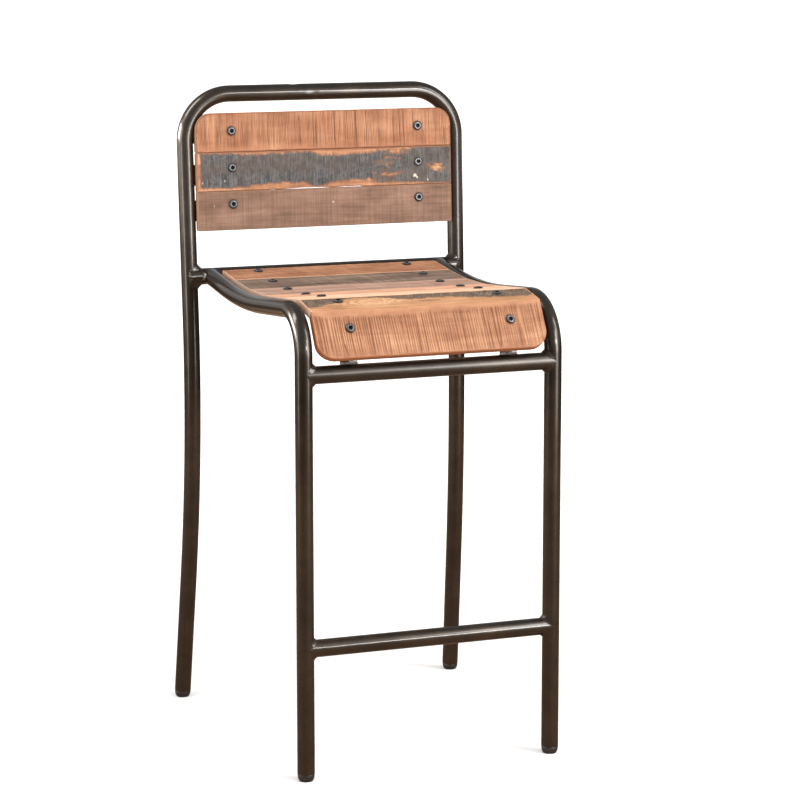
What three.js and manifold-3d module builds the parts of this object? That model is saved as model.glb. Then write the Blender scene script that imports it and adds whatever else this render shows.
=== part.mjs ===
// Bar stool with footrest: a bent and welded steel tube frame that carries a dished plank seat and
// a plank backrest. Millimetres, +Z up. The front faces -Y, and the origin is on the floor under
// the middle of the stool.
import * as THREE from 'three';
import { mergeVertices } from 'three/addons/utils/BufferGeometryUtils.js';
import Module from 'manifold-3d';

const wasm = await Module();
wasm.setup();

// ---- Driving dimensions ----

// Stock: one size of round tube, one flat bar, one plank thickness.
const TUBE_R = 12.7;
const TUBE_WALL = 1.5;
const TUBE_SIDES = 20;
const BORE_SIDES = 12;
const BAR_T = 4;
const STRAP_W = 25.4;
const PLANK_T = 12.7;
const SEAM = 1;
const MITRE_GAP = 0.6;
const EDGE_R = 1.6;
const GAP = 0.3;

// Front legs, footrest and front crossbar.
const LEG_X = 190.5;
const LEG_Y = -238;
const GLIDE_H = 11;
const FOOTREST_Z = 193.5;
const FRONT_CROSS_Z = 587.3;

// Each side tube turns back from the leg into a seat rail that dips in the middle: its two straight
// runs meet at the dish. The rails close in a little toward the rear. BACK is measured from the
// front legs. The left tube is bent a little tighter than the right one.
const LEFT_BEND_R = 60;
const RIGHT_BEND_R = 73;
const RAIL_FRONT_Z = 678.9;
const DISH_BACK = 271.5;
const DISH_Z = 655.1;
const DISH_R = 890;
const REAR_CROSS_BACK = 444;
const REAR_CROSS_Z = 674.5;
const RAIL_REAR_X = 188;

// The back frame: rear legs, uprights and top arch in one tube. Each leg bends once, at the knee,
// back and outward to its foot.
const REAR_FOOT_X = 228.8;
const REAR_FOOT_BACK = 488.9;
const KNEE_X = 219;
const KNEE_BACK = 433.4;
const KNEE_Z = 411;
const KNEE_R = 2200;
const ARCH_X = 222;
const ARCH_Z = 952;
const ARCH_R = 72;
const UPRIGHT_LEAN = 0.055;

// Seat planks run across the stool between the rails. SEAMS are measured back from the front legs.
const SEAT_HALF_W = 175;
const CUTTER_W = 3 * SEAT_HALF_W;
const SEAMS = [425, 362, 288, 213, 137, 64];
const FRONT_EDGE_BACK = 12;
const FRONT_EDGE_Z = 676;
const FRONT_EDGE_R = 8;
const FRONT_PLANK_FOOT_BACK = -24;
const FRONT_PLANK_FOOT_Z = 613;
const FRONT_PLANK_CORNER_R = 27;
const STRAP_X = 122;
const STRAP_FOOT_BACK = 5;
const SEAT_SCREWS = [409, 339, 269, 187, 118, 48];
const FRONT_SCREW_DOWN = 28;

// Back planks stand in front of three flat bars that join the uprights.
const BACK_HALF_W = 208.5;
const BACK_BOTTOM_Z = 744;
const BACK_PLANK_H = 59.7;
const BACK_CORNER_R = 25;
const BACK_FOOT_CORNER_R = 3;
const BACK_BAR_H = 32;
const BACK_BAR_FORWARD = 2.3;
const BACK_BAR_Z = [775, 829, 893];
const BACK_SCREW_X = 152.6;
const BACK_SCREW_Z = [784, 839.5, 895.5];

// Low button head screws, and their clearance holes through plank and bar.
const HEAD_R = 6.8;
const HEAD_FACE_R = 5;
const HEAD_H = 2.4;
const HEAD_RIM_H = 0.9;
const SOCKET_R = 2.6;
const SOCKET_DEPTH = 3;
const SHANK_R = 3.9;
const SHANK_L = 20;
const HOLE_R = 4.4;
const HOLE_ABOVE = 5;
const HOLE_BELOW = PLANK_T + BAR_T + 6;
const TURNED_SIDES = 12;

// Moulded glides: the sole, the swell above it, and the stem pressed into the tube.
const SOLE_R = 8.4;
const SOLE_EDGE_R = 9.4;
const SOLE_CUT = 3;
const SWELL_R = 11.6;
const SWELL_H = 4;
const SHOULDER_R = 12.2;
const SHOULDER_H = 7;
const STEM_L = 16;
const STEM_CHAMFER = 2;
const GLIDE_SIDES = 16;

// Bends of the seat's flat bars: under the last plank, at the front edge, and at the foot.
const STRAP_BEND_R = 60;
const STRAP_EDGE_R = 12;
const STRAP_FOOT_R = 15;

// Fineness of the bends.
const ARC_STEPS = 5;
const ARC_STEP_DEG = 12;

// ---- Materials ----

function finish(color, roughness, metalness) {
  return new THREE.MeshStandardMaterial({ color, roughness, metalness });
}

const LACQUER = finish(0x2b2521, 0.35, 0.8);
const BAR_STEEL = finish(0x4a4642, 0.5, 0.8);
const SCREW_STEEL = finish(0x55565a, 0.4, 0.9);
const GLIDE_PLASTIC = finish(0x151414, 0.6, 0);
const WOODS = {
  seat_plank_1: finish(0xb47a58, 0.7, 0),
  seat_plank_2: finish(0x8c7566, 0.7, 0),
  seat_plank_3: finish(0xb58672, 0.7, 0),
  seat_plank_4: finish(0xd09068, 0.7, 0),
  seat_plank_5: finish(0xdc9f78, 0.7, 0),
  seat_plank_6: finish(0x9c7c66, 0.7, 0),
  front_plank: finish(0xc98c70, 0.75, 0),
  back_plank_lower: finish(0xa47f6d, 0.75, 0),
  back_plank_middle: finish(0x83807c, 0.75, 0),
  back_plank_upper: finish(0xcf8c6a, 0.75, 0),
};

// ---- Paths ----

// A centre-line of straight runs joined by arcs, as a tube bender makes it. Corners are
// { at, r }: the runs would meet at the point, and the arc of radius r rounds it off. The sections
// of an extrusion stand at its stations only: run ends, and a few steps round each arc.
class BentPath extends THREE.Curve {
  constructor(start, corners, end) {
    super();
    this.stations = [];
    let from = start;
    corners.forEach(({ at, r }, i) => {
      const next = i + 1 < corners.length ? corners[i + 1].at : end;
      this.addArc(from, at, next, r);
      from = at;
    });
    const first = corners.length ? corners[0].at : end;
    this.stations.unshift({ point: start.clone(), tangent: direction(start, first) });
    this.stations.push({ point: end.clone(), tangent: direction(from, end) });
  }

  addArc(from, at, next, r) {
    const incoming = direction(from, at);
    const angle = incoming.angleTo(direction(at, next));
    const axis = incoming.clone().cross(direction(at, next)).normalize();
    const inward = axis.clone().cross(incoming);
    const cut = r * Math.tan(angle / 2);
    const centre = at.clone().addScaledVector(incoming, -cut).addScaledVector(inward, r);
    const steps = Math.max(ARC_STEPS, Math.ceil(angle / THREE.MathUtils.degToRad(ARC_STEP_DEG)));
    for (let k = 0; k <= steps; k += 1) {
      const turn = (angle * k) / steps;
      const radial = inward.clone().negate().applyAxisAngle(axis, turn);
      this.stations.push({
        point: centre.clone().addScaledVector(radial, r),
        tangent: incoming.clone().applyAxisAngle(axis, turn),
      });
    }
  }

  station(u) {
    return this.stations[Math.round(u * (this.stations.length - 1))];
  }

  getPointAt(u, target = new THREE.Vector3()) {
    return target.copy(this.station(u).point);
  }

  getTangentAt(u, target = new THREE.Vector3()) {
    return target.copy(this.station(u).tangent);
  }
}

function direction(a, b) {
  return b.clone().sub(a).normalize();
}

function inSidePlane(x, back, z) {
  return new THREE.Vector3(x, LEG_Y + back, z);
}

// ---- Outlines ----

function circlePoints(radius, sides) {
  return Array.from({ length: sides }, (_, i) => {
    const angle = (2 * Math.PI * i) / sides;
    return new THREE.Vector2(radius * Math.cos(angle), radius * Math.sin(angle));
  });
}

function polygon(corners) {
  return new THREE.Shape(corners.map(([a, b]) => new THREE.Vector2(a, b)));
}

// The arc of radius r that rounds the corner between two straight sides, as points.
function cornerArc(before, corner, after, r) {
  const [dx, dy] = unit(corner, before);
  const [ex, ey] = unit(corner, after);
  const half = Math.acos(dx * ex + dy * ey) / 2;
  const cutBack = r / Math.tan(half);
  const start = new THREE.Vector2(corner[0] + dx * cutBack, corner[1] + dy * cutBack);
  const centre = new THREE.Vector2(dx + ex, dy + ey).setLength(r / Math.sin(half));
  centre.add(new THREE.Vector2(...corner));
  const turn = (Math.PI - 2 * half) * Math.sign(ex * dy - ey * dx);
  const steps = Math.max(2, Math.round(Math.sqrt(r)));
  return Array.from({ length: steps + 1 }, (_, k) => {
    return start.clone().rotateAround(centre, (turn * k) / steps);
  });
}

// A closed outline through the corners, each { at: [a, b], r }, with r rounding it off.
function roundedOutline(corners) {
  const points = corners.flatMap(({ at, r }, i) => {
    const before = corners.at(i - 1).at;
    const after = corners[(i + 1) % corners.length].at;
    return r > 0 ? cornerArc(before, at, after, r) : [new THREE.Vector2(...at)];
  });
  return new THREE.Shape(points);
}

// Where line p + t d meets line q + s e, in a plane.
function meet(p, d, q, e) {
  const t = ((q[0] - p[0]) * e[1] - (q[1] - p[1]) * e[0]) / (d[0] * e[1] - d[1] * e[0]);
  return [p[0] + t * d[0], p[1] + t * d[1]];
}

function unit(a, b) {
  const length = Math.hypot(b[0] - a[0], b[1] - a[1]);
  return [(b[0] - a[0]) / length, (b[1] - a[1]) / length];
}

// The polyline moved sideways by distance, to the right of its direction, with mitred corners.
function offsetPolyline(points, distance) {
  const shifted = points.slice(1).map((b, i) => {
    const d = unit(points[i], b);
    return { p: [points[i][0] + d[1] * distance, points[i][1] - d[0] * distance], d };
  });
  return points.map((point, i) => {
    if (i === 0) return shifted[0].p;
    const { p, d } = shifted[i - 1];
    if (i === points.length - 1) {
      return [point[0] + d[1] * distance, point[1] - d[0] * distance];
    }
    return meet(p, d, shifted[i].p, shifted[i].d);
  });
}

// ---- Solids ----

function solidOf(geometry) {
  const bare = geometry.clone();
  bare.deleteAttribute('normal');
  bare.deleteAttribute('uv');
  const merged = mergeVertices(bare, 1e-4);
  return new wasm.Manifold(new wasm.Mesh({
    numProp: 3,
    vertProperties: new Float32Array(merged.attributes.position.array),
    triVerts: new Uint32Array(merged.index.array),
  }));
}

function geometryOf(solid) {
  const { vertProperties, triVerts } = solid.getMesh();
  const geometry = new THREE.BufferGeometry();
  geometry.setAttribute('position', new THREE.BufferAttribute(vertProperties, 3));
  geometry.setIndex(new THREE.BufferAttribute(triVerts, 1));
  return geometry.toNonIndexed();
}

function cut(geometry, cutters) {
  return geometryOf(cutters.reduce((solid, tool) => solid.subtract(solidOf(tool)), solidOf(geometry)));
}

function sweep(section, path) {
  const steps = path.stations.length - 1;
  return new THREE.ExtrudeGeometry(section, { steps, bevelEnabled: false, extrudePath: path });
}

function tube(path) {
  const section = new THREE.Shape(circlePoints(TUBE_R, TUBE_SIDES));
  section.holes.push(new THREE.Path(circlePoints(TUBE_R - TUBE_WALL, BORE_SIDES)));
  return sweep(section, path);
}

// The room that a mating piece leaves round a tube.
function tubeClearance(path) {
  return sweep(new THREE.Shape(circlePoints(TUBE_R + GAP, TUBE_SIDES)), path);
}

// An outline in the Y-Z plane, extruded across the stool and centred on x.
function acrossStool(outline, x, width) {
  const geometry = new THREE.ExtrudeGeometry(outline, { depth: width, bevelEnabled: false });
  const axes = new THREE.Matrix4().makeBasis(
    new THREE.Vector3(0, 1, 0),
    new THREE.Vector3(0, 0, 1),
    new THREE.Vector3(1, 0, 0),
  );
  axes.setPosition(x - width / 2, LEG_Y, 0);
  return geometry.applyMatrix4(axes);
}

function rod(point, axis, radius, below, above) {
  const geometry = new THREE.CylinderGeometry(radius, radius, below + above, TURNED_SIDES);
  geometry.translate(0, (above - below) / 2, 0);
  const turn = new THREE.Quaternion().setFromUnitVectors(new THREE.Vector3(0, 1, 0), axis);
  return geometry.applyQuaternion(turn).translate(point.x, point.y, point.z);
}

function screwHole({ point, axis }) {
  return rod(point, axis, HOLE_R, HOLE_BELOW, HOLE_ABOVE);
}

// ---- Frame ----

function sideFramePath(side) {
  const legX = side * LEG_X;
  const rearX = side * RAIL_REAR_X;
  const dishX = THREE.MathUtils.lerp(legX, rearX, DISH_BACK / REAR_CROSS_BACK);
  return new BentPath(
    inSidePlane(legX, 0, GLIDE_H),
    [
      { at: inSidePlane(legX, 0, RAIL_FRONT_Z), r: side < 0 ? LEFT_BEND_R : RIGHT_BEND_R },
      { at: inSidePlane(dishX, DISH_BACK, DISH_Z), r: DISH_R },
    ],
    inSidePlane(rearX, REAR_CROSS_BACK, REAR_CROSS_Z),
  );
}

function uprightBack(z) {
  return KNEE_BACK + UPRIGHT_LEAN * (z - KNEE_Z);
}

function backFramePath() {
  const knee = (side) => inSidePlane(side * KNEE_X, KNEE_BACK, KNEE_Z);
  const sole = (side) => inSidePlane(side * REAR_FOOT_X, REAR_FOOT_BACK, 0);
  const foot = (side) => sole(side).lerp(knee(side), GLIDE_H / KNEE_Z);
  const top = (side) => inSidePlane(side * ARCH_X, uprightBack(ARCH_Z), ARCH_Z);
  return new BentPath(
    foot(-1),
    [
      { at: knee(-1), r: KNEE_R },
      { at: top(-1), r: ARCH_R },
      { at: top(1), r: ARCH_R },
      { at: knee(1), r: KNEE_R },
    ],
    foot(1),
  );
}

function crossPath(halfWidth, back, z) {
  return new BentPath(inSidePlane(-halfWidth, back, z), [], inSidePlane(halfWidth, back, z));
}

const sidePaths = { left: sideFramePath(-1), right: sideFramePath(1) };
const backPath = backFramePath();
const rearCrossPath = crossPath(KNEE_X, REAR_CROSS_BACK, REAR_CROSS_Z);
const frontCrossPath = crossPath(LEG_X, 0, FRONT_CROSS_Z);
const footrestPath = crossPath(LEG_X, 0, FOOTREST_Z);

const stool = new THREE.Group();
stool.name = 'bar_stool_with_footrest';

function add(name, geometry, material) {
  const mesh = new THREE.Mesh(geometry, material);
  mesh.name = name;
  stool.add(mesh);
  return mesh;
}

function addFrame() {
  const sideClearances = Object.values(sidePaths).map(tubeClearance);
  add('back_frame', tube(backPath), LACQUER);
  for (const [side, path] of Object.entries(sidePaths)) {
    add(`side_frame_${side}`, cut(tube(path), [tubeClearance(rearCrossPath)]), LACQUER);
  }
  add('rear_cross_tube', cut(tube(rearCrossPath), [tubeClearance(backPath)]), LACQUER);
  add('front_cross_tube', cut(tube(frontCrossPath), sideClearances), LACQUER);
  add('footrest_tube', cut(tube(footrestPath), sideClearances), LACQUER);
}

// A moulded foot: its shoulder meets the end of the tube and its stem is pressed inside. It starts
// a little under the floor and is cut off there, so the sole is level whatever the lean of the leg.
function glide(footPoint, axis) {
  const stemR = (TUBE_R - TUBE_WALL) * Math.cos(Math.PI / BORE_SIDES) - GAP;
  const shoulder = GLIDE_H - GAP;
  const stemTop = GLIDE_H + STEM_L;
  const profile = [
    [0, -SOLE_CUT], [SOLE_R, -SOLE_CUT], [SOLE_EDGE_R, 0], [SWELL_R, SWELL_H], [SHOULDER_R, SHOULDER_H],
    [SHOULDER_R, shoulder], [stemR, shoulder],
    [stemR, stemTop - STEM_CHAMFER], [stemR - STEM_CHAMFER / 2, stemTop], [0, stemTop],
  ];
  const geometry = new THREE.LatheGeometry(profile.map(([r, h]) => new THREE.Vector2(r, h)), GLIDE_SIDES);
  geometry.translate(0, -GLIDE_H, 0);
  geometry.applyQuaternion(new THREE.Quaternion().setFromUnitVectors(new THREE.Vector3(0, 1, 0), axis));
  geometry.translate(footPoint.x, footPoint.y, footPoint.z);
  const size = 4 * TUBE_R;
  const underFloor = new THREE.BoxGeometry(size, size, size);
  underFloor.translate(footPoint.x, footPoint.y, -size / 2);
  return cut(geometry, [underFloor]);
}

function addGlides() {
  const ends = {
    front_left: sidePaths.left.stations[0],
    front_right: sidePaths.right.stations[0],
    rear_left: backPath.stations[0],
    rear_right: backPath.stations.at(-1),
  };
  for (const [corner, { point, tangent }] of Object.entries(ends)) {
    const upward = tangent.clone().multiplyScalar(Math.sign(tangent.z));
    add(`foot_glide_${corner}`, glide(point, upward), GLIDE_PLASTIC);
  }
}

// ---- Seat ----

// Height of the rail's centre-line at a distance behind the front legs.
function railHeight(back) {
  const y = LEG_Y + back;
  const points = sidePaths.left.stations.map(({ point }) => point);
  const i = points.findIndex((point) => point.y >= y);
  const [a, b] = [points[i - 1], points[i]];
  return a.z + ((b.z - a.z) * (y - a.y)) / (b.y - a.y);
}

// The seat's top surface from back to front, as [distance behind the front legs, height]: flush
// with the top of the rails, then down over the front edge.
const seatTop = [
  ...SEAMS.map((back) => [back, railHeight(back) + TUBE_R]),
  [FRONT_EDGE_BACK, FRONT_EDGE_Z],
  [FRONT_PLANK_FOOT_BACK, FRONT_PLANK_FOOT_Z],
];
const seatUnder = offsetPolyline(seatTop, -PLANK_T);
const frontEdge = seatTop.length - 2;
const frontFall = unit(seatTop[frontEdge], seatTop[frontEdge + 1]);

// A point on plank i's top face, with the outward normal there.
function onSeat(i, x, along) {
  const [a, b] = [seatTop[i], seatTop[i + 1]];
  const d = unit(a, b);
  const axis = new THREE.Vector3(0, d[1], -d[0]);
  return { point: inSidePlane(x, a[0] + d[0] * along, a[1] + d[1] * along), axis };
}

function seatScrewPlaces(i) {
  const [a, b] = [seatTop[i], seatTop[i + 1]];
  const d = unit(a, b);
  const along = i === frontEdge ? FRONT_SCREW_DOWN : (SEAT_SCREWS[i] - a[0]) / d[0];
  return { left: onSeat(i, -STRAP_X, along), right: onSeat(i, STRAP_X, along) };
}

// Cross-section of seat plank i, mitred to its neighbours with half a seam at each end. The
// frontmost one meets the front plank in a close mitre.
function seatPlankOutline(i) {
  const d = unit(seatTop[i], seatTop[i + 1]);
  const inset = ([back, z], by) => [back + d[0] * by, z + d[1] * by];
  const isFront = i + 1 === frontEdge;
  const end = isFront ? -MITRE_GAP / 2 : -SEAM / 2;
  return roundedOutline([
    { at: inset(seatTop[i], SEAM / 2), r: EDGE_R },
    { at: inset(seatTop[i + 1], end), r: isFront ? 0 : EDGE_R },
    { at: inset(seatUnder[i + 1], end), r: 0 },
    { at: inset(seatUnder[i], SEAM / 2), r: 0 },
  ]);
}

// What is planed off the corner where the seat turns down: the two planks there share one arc.
function frontEdgeWaste() {
  const [seam, edge, foot] = seatTop.slice(frontEdge - 1);
  const arc = cornerArc(seam, edge, foot, FRONT_EDGE_R);
  const middle = arc[Math.floor(arc.length / 2)];
  const beyond = new THREE.Vector2(...edge).sub(middle).multiplyScalar(3).add(middle);
  return acrossStool(new THREE.Shape([...arc, beyond]), 0, CUTTER_W);
}

function addSeatPlanks() {
  for (let i = 0; i < frontEdge; i += 1) {
    const name = `seat_plank_${i + 1}`;
    const board = acrossStool(seatPlankOutline(i), 0, 2 * SEAT_HALF_W);
    const waste = i + 1 === frontEdge ? [frontEdgeWaste()] : [];
    const holes = Object.values(seatScrewPlaces(i)).map(screwHole);
    add(name, cut(board, [...waste, ...holes]), WOODS[name]);
  }
}

// The plank that falls away in front of the seat, with round lower corners and a mitred top.
function frontPlank() {
  const [back, z] = seatTop[frontEdge];
  const [footBack, footZ] = seatTop[frontEdge + 1];
  const fall = Math.hypot(footBack - back, footZ - z);
  const outline = roundedOutline([
    { at: [-SEAT_HALF_W, 0], r: 0 },
    { at: [SEAT_HALF_W, 0], r: 0 },
    { at: [SEAT_HALF_W, fall], r: FRONT_PLANK_CORNER_R },
    { at: [-SEAT_HALF_W, fall], r: FRONT_PLANK_CORNER_R },
  ]);
  const board = new THREE.ExtrudeGeometry(outline, { depth: PLANK_T, bevelEnabled: false });
  const down = new THREE.Vector3(0, frontFall[0], frontFall[1]);
  const inward = new THREE.Vector3(0, -frontFall[1], frontFall[0]);
  const axes = new THREE.Matrix4().makeBasis(new THREE.Vector3(1, 0, 0), down, inward);
  axes.setPosition(inSidePlane(0, back, z));
  board.applyMatrix4(axes);

  const mitre = unit(seatUnder[frontEdge], seatTop[frontEdge]);
  const reach = 3 * PLANK_T;
  const along = (way) => [back + frontFall[0] * (MITRE_GAP / 2) + way * mitre[0] * reach,
    z + frontFall[1] * (MITRE_GAP / 2) + way * mitre[1] * reach];
  const beyond = ([a, b]) => [a - frontFall[0] * reach, b - frontFall[1] * reach];
  const above = polygon([along(1), along(-1), beyond(along(-1)), beyond(along(1))]);
  const holes = Object.values(seatScrewPlaces(frontEdge)).map(screwHole);
  return cut(board, [acrossStool(above, 0, CUTTER_W), frontEdgeWaste(), ...holes]);
}

// A flat bar under the planks, from the rear cross tube forward and down behind the front plank
// to the front crossbar.
function seatStrap(side) {
  const x = side * STRAP_X;
  const depth = PLANK_T + GAP + BAR_T / 2;
  const dish = [DISH_BACK, DISH_Z + TUBE_R];
  const rear = [REAR_CROSS_BACK, REAR_CROSS_Z + TUBE_R];
  const line = offsetPolyline([rear, dish, seatTop[frontEdge - 1], ...seatTop.slice(frontEdge)], -depth);
  const foot = meet(line[3], frontFall, [STRAP_FOOT_BACK, 0], [0, 1]);
  const path = new BentPath(
    inSidePlane(x, ...line[0]),
    [
      { at: inSidePlane(x, ...line[1]), r: DISH_R },
      { at: inSidePlane(x, ...line[2]), r: STRAP_BEND_R },
      { at: inSidePlane(x, ...line[3]), r: STRAP_EDGE_R },
      { at: inSidePlane(x, ...foot), r: STRAP_FOOT_R },
    ],
    inSidePlane(x, STRAP_FOOT_BACK, FRONT_CROSS_Z),
  );
  const [w, t] = [STRAP_W / 2, BAR_T / 2];
  const bar = sweep(polygon([[-w, -t], [w, -t], [w, t], [-w, t]]), path);
  const key = side < 0 ? 'left' : 'right';
  const holes = seatTop.slice(0, -1).map((_, i) => screwHole(seatScrewPlaces(i)[key]));
  return cut(bar, [tubeClearance(rearCrossPath), tubeClearance(frontCrossPath), ...holes]);
}

// ---- Backrest ----

// Local frame of the backrest: X across, Y up along the leaning uprights, Z forward from the
// plane of their centre-lines. Heights are above the planks' bottom edge.
const leanAngle = Math.atan(UPRIGHT_LEAN);
const backAxes = new THREE.Matrix4()
  .makeRotationX(Math.PI / 2 - leanAngle)
  .setPosition(inSidePlane(0, uprightBack(BACK_BOTTOM_Z), BACK_BOTTOM_Z));
const backPlankRear = BACK_BAR_FORWARD + BAR_T / 2 + GAP;

function upTheBack(z) {
  return (z - BACK_BOTTOM_Z) / Math.cos(leanAngle);
}

function backScrewPlace(side, i) {
  const face = backPlankRear + PLANK_T;
  const point = new THREE.Vector3(side * BACK_SCREW_X, upTheBack(BACK_SCREW_Z[i]), face);
  const axis = new THREE.Vector3(0, 0, 1).transformDirection(backAxes);
  return { point: point.applyMatrix4(backAxes), axis };
}

// The top plank's corners are relieved at the back, where they pass inside the bends of the arch.
function backPlank(i, isTop) {
  const low = i * BACK_PLANK_H + (i ? SEAM / 2 : 0);
  const high = (i + 1) * BACK_PLANK_H - (isTop ? 0 : SEAM / 2);
  const topR = isTop ? BACK_CORNER_R : 0;
  const footR = i === 0 ? BACK_FOOT_CORNER_R : 0;
  const outline = roundedOutline([
    { at: [-BACK_HALF_W, low], r: footR },
    { at: [BACK_HALF_W, low], r: footR },
    { at: [BACK_HALF_W, high], r: topR },
    { at: [-BACK_HALF_W, high], r: topR },
  ]);
  const board = new THREE.ExtrudeGeometry(outline, { depth: PLANK_T, bevelEnabled: false });
  board.translate(0, 0, backPlankRear).applyMatrix4(backAxes);
  const holes = [-1, 1].map((side) => screwHole(backScrewPlace(side, i)));
  return cut(board, isTop ? [tubeClearance(backPath), ...holes] : holes);
}

function backBar(i) {
  const bar = new THREE.BoxGeometry(2 * ARCH_X, BACK_BAR_H, BAR_T);
  bar.translate(0, upTheBack(BACK_BAR_Z[i]), BACK_BAR_FORWARD).applyMatrix4(backAxes);
  const holes = [-1, 1].map((side) => screwHole(backScrewPlace(side, i)));
  return cut(bar, [tubeClearance(backPath), ...holes]);
}

function addBackrest() {
  ['lower', 'middle', 'upper'].forEach((row, i) => {
    add(`back_bar_${row}`, backBar(i), BAR_STEEL);
    const name = `back_plank_${row}`;
    add(name, backPlank(i, row === 'upper'), WOODS[name]);
  });
}

// ---- Screws ----

const screwGeometry = new THREE.LatheGeometry([
  [0, HEAD_H - SOCKET_DEPTH], [SOCKET_R, HEAD_H - SOCKET_DEPTH], [SOCKET_R, HEAD_H],
  [HEAD_FACE_R, HEAD_H], [HEAD_R, HEAD_RIM_H], [HEAD_R, 0],
  [SHANK_R, 0], [SHANK_R, -SHANK_L], [0, -SHANK_L],
].map(([r, h]) => new THREE.Vector2(r, h)).reverse(), TURNED_SIDES);

function addScrew(name, { point, axis }) {
  const screw = add(name, screwGeometry, SCREW_STEEL);
  screw.position.copy(point).addScaledVector(axis, GAP);
  screw.quaternion.setFromUnitVectors(new THREE.Vector3(0, 1, 0), axis);
}

function addScrews() {
  for (let i = 0; i <= frontEdge; i += 1) {
    const plank = i === frontEdge ? 'front' : `seat_${i + 1}`;
    for (const [side, place] of Object.entries(seatScrewPlaces(i))) {
      addScrew(`screw_${plank}_${side}`, place);
    }
  }
  ['lower', 'middle', 'upper'].forEach((row, i) => {
    addScrew(`screw_back_${row}_left`, backScrewPlace(-1, i));
    addScrew(`screw_back_${row}_right`, backScrewPlace(1, i));
  });
}

addFrame();
addGlides();
add('seat_strap_left', seatStrap(-1), BAR_STEEL);
add('seat_strap_right', seatStrap(1), BAR_STEEL);
addSeatPlanks();
add('front_plank', frontPlank(), WOODS.front_plank);
addBackrest();
addScrews();

export default stool;
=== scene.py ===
# Looks of the bar stool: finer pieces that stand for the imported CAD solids, with their materials.
# Metres, in the frame of the CAD model. Planks, tubes and bars are built along lines worked out from
# the stool's driving dimensions, and screws are put where the CAD screws are.
import math
import random

import bpy
import numpy as np
from mathutils import Matrix, Vector


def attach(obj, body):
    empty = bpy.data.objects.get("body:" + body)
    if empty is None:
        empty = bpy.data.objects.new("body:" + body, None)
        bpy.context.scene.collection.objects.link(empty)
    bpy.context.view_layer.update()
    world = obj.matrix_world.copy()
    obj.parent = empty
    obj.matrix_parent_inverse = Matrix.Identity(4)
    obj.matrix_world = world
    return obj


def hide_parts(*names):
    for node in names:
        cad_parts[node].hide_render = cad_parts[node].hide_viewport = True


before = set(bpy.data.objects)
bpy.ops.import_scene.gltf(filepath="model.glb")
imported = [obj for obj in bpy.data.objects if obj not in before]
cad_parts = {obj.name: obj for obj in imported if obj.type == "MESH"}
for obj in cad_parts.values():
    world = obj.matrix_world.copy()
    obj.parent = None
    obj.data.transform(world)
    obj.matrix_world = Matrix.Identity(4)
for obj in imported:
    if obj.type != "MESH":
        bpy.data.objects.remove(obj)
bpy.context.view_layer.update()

# ---- Driving dimensions, in metres ----

TUBE_R = 0.0127
TUBE_WALL = 0.0015
BAR_T = 0.004
STRAP_W = 0.0254
PLANK_T = 0.0127
SEAM = 0.001
GAP = 0.0003

LEG_X = 0.1905
LEG_Y = -0.238
GLIDE_H = 0.011
FOOTREST_Z = 0.1935
FRONT_CROSS_Z = 0.5873

LEFT_BEND_R = 0.060
RIGHT_BEND_R = 0.073
RAIL_FRONT_Z = 0.6789
DISH_BACK = 0.2715
DISH_Z = 0.6551
DISH_R = 0.89
REAR_CROSS_BACK = 0.444
REAR_CROSS_Z = 0.6745
RAIL_REAR_X = 0.188

REAR_FOOT_X = 0.2288
REAR_FOOT_BACK = 0.4889
KNEE_X = 0.219
KNEE_BACK = 0.4334
KNEE_Z = 0.411
KNEE_R = 2.2
ARCH_X = 0.222
ARCH_Z = 0.952
ARCH_R = 0.072
UPRIGHT_LEAN = 0.055

SEAT_HALF_W = 0.175
SEAMS = [0.425, 0.362, 0.288, 0.213, 0.137, 0.064]
FRONT_EDGE = (0.012, 0.676)
FRONT_EDGE_R = 0.008
FRONT_PLANK_FOOT = (-0.024, 0.613)
FRONT_PLANK_CORNER_R = 0.027
STRAP_X = 0.122
STRAP_FOOT_BACK = 0.005
STRAP_BENDS = (DISH_R, 0.06, 0.012, 0.015)

BACK_HALF_W = 0.2085
BACK_BOTTOM_Z = 0.744
BACK_PLANK_H = 0.0597
BACK_CORNER_R = 0.025
BACK_FOOT_R = 0.003
BACK_BAR_H = 0.032
BACK_BAR_FORWARD = 0.0023
BACK_BAR_Z = [0.775, 0.829, 0.893]

SEAT_SCREWS = [0.409, 0.339, 0.269, 0.187, 0.118, 0.048]
FRONT_SCREW_DOWN = 0.028
BACK_SCREW_X = 0.1526
BACK_SCREW_Z = [0.784, 0.8395, 0.8955]
HEAD_R = 0.0068
HEAD_H = 0.0024
SOCKET_R = 0.0026
SHANK_R = 0.0039
SHANK_L = 0.020

# Welds: how far each kind reaches, the ripples round one, and how far they sink into what they join.
RAIL_WELD = 0.0040
REAR_WELD = 0.0062
FRONT_WELD = 0.0052
FOOTREST_WELD = 0.0046
BACK_BAR_WELD = 0.0032
STRAP_WELD = 0.0030
RIPPLES = 26
SUNK = 0.0002

# Seams as they look on the worn faces, how the planks' edges are worn, and their fine saw texture.
SEAT_SEAM = 0.0004
BACK_SEAM = 0.0003
MITRE_SEAM = 0.0001
ARRIS = 0.0012
SEAT_ARRIS = 0.0011
FRONT_ARRIS = 0.0024
EDGE_BAND = 0.0024
BAR_EDGE_R = 0.0008
SAW_PITCH = 0.0011

# Fineness of tubes and plank faces, and (depth, how far in) of each ring of a plank's walls.
TUBE_SIDES = 48
TURNED_SIDES = 48
WELD_SIDES = 160
BAR_WELD_STEPS = 60
ROW_STEP = 0.0022
FINE_STEP = 0.0005
COARSE_STEP = 0.0010
WALL_LEVELS = [(0.0030, 0.0), (0.0060, 0.0), (0.0090, 0.0), (0.0115, 0.0), (0.0123, 0.0003),
               (PLANK_T, 0.0010)]

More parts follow.
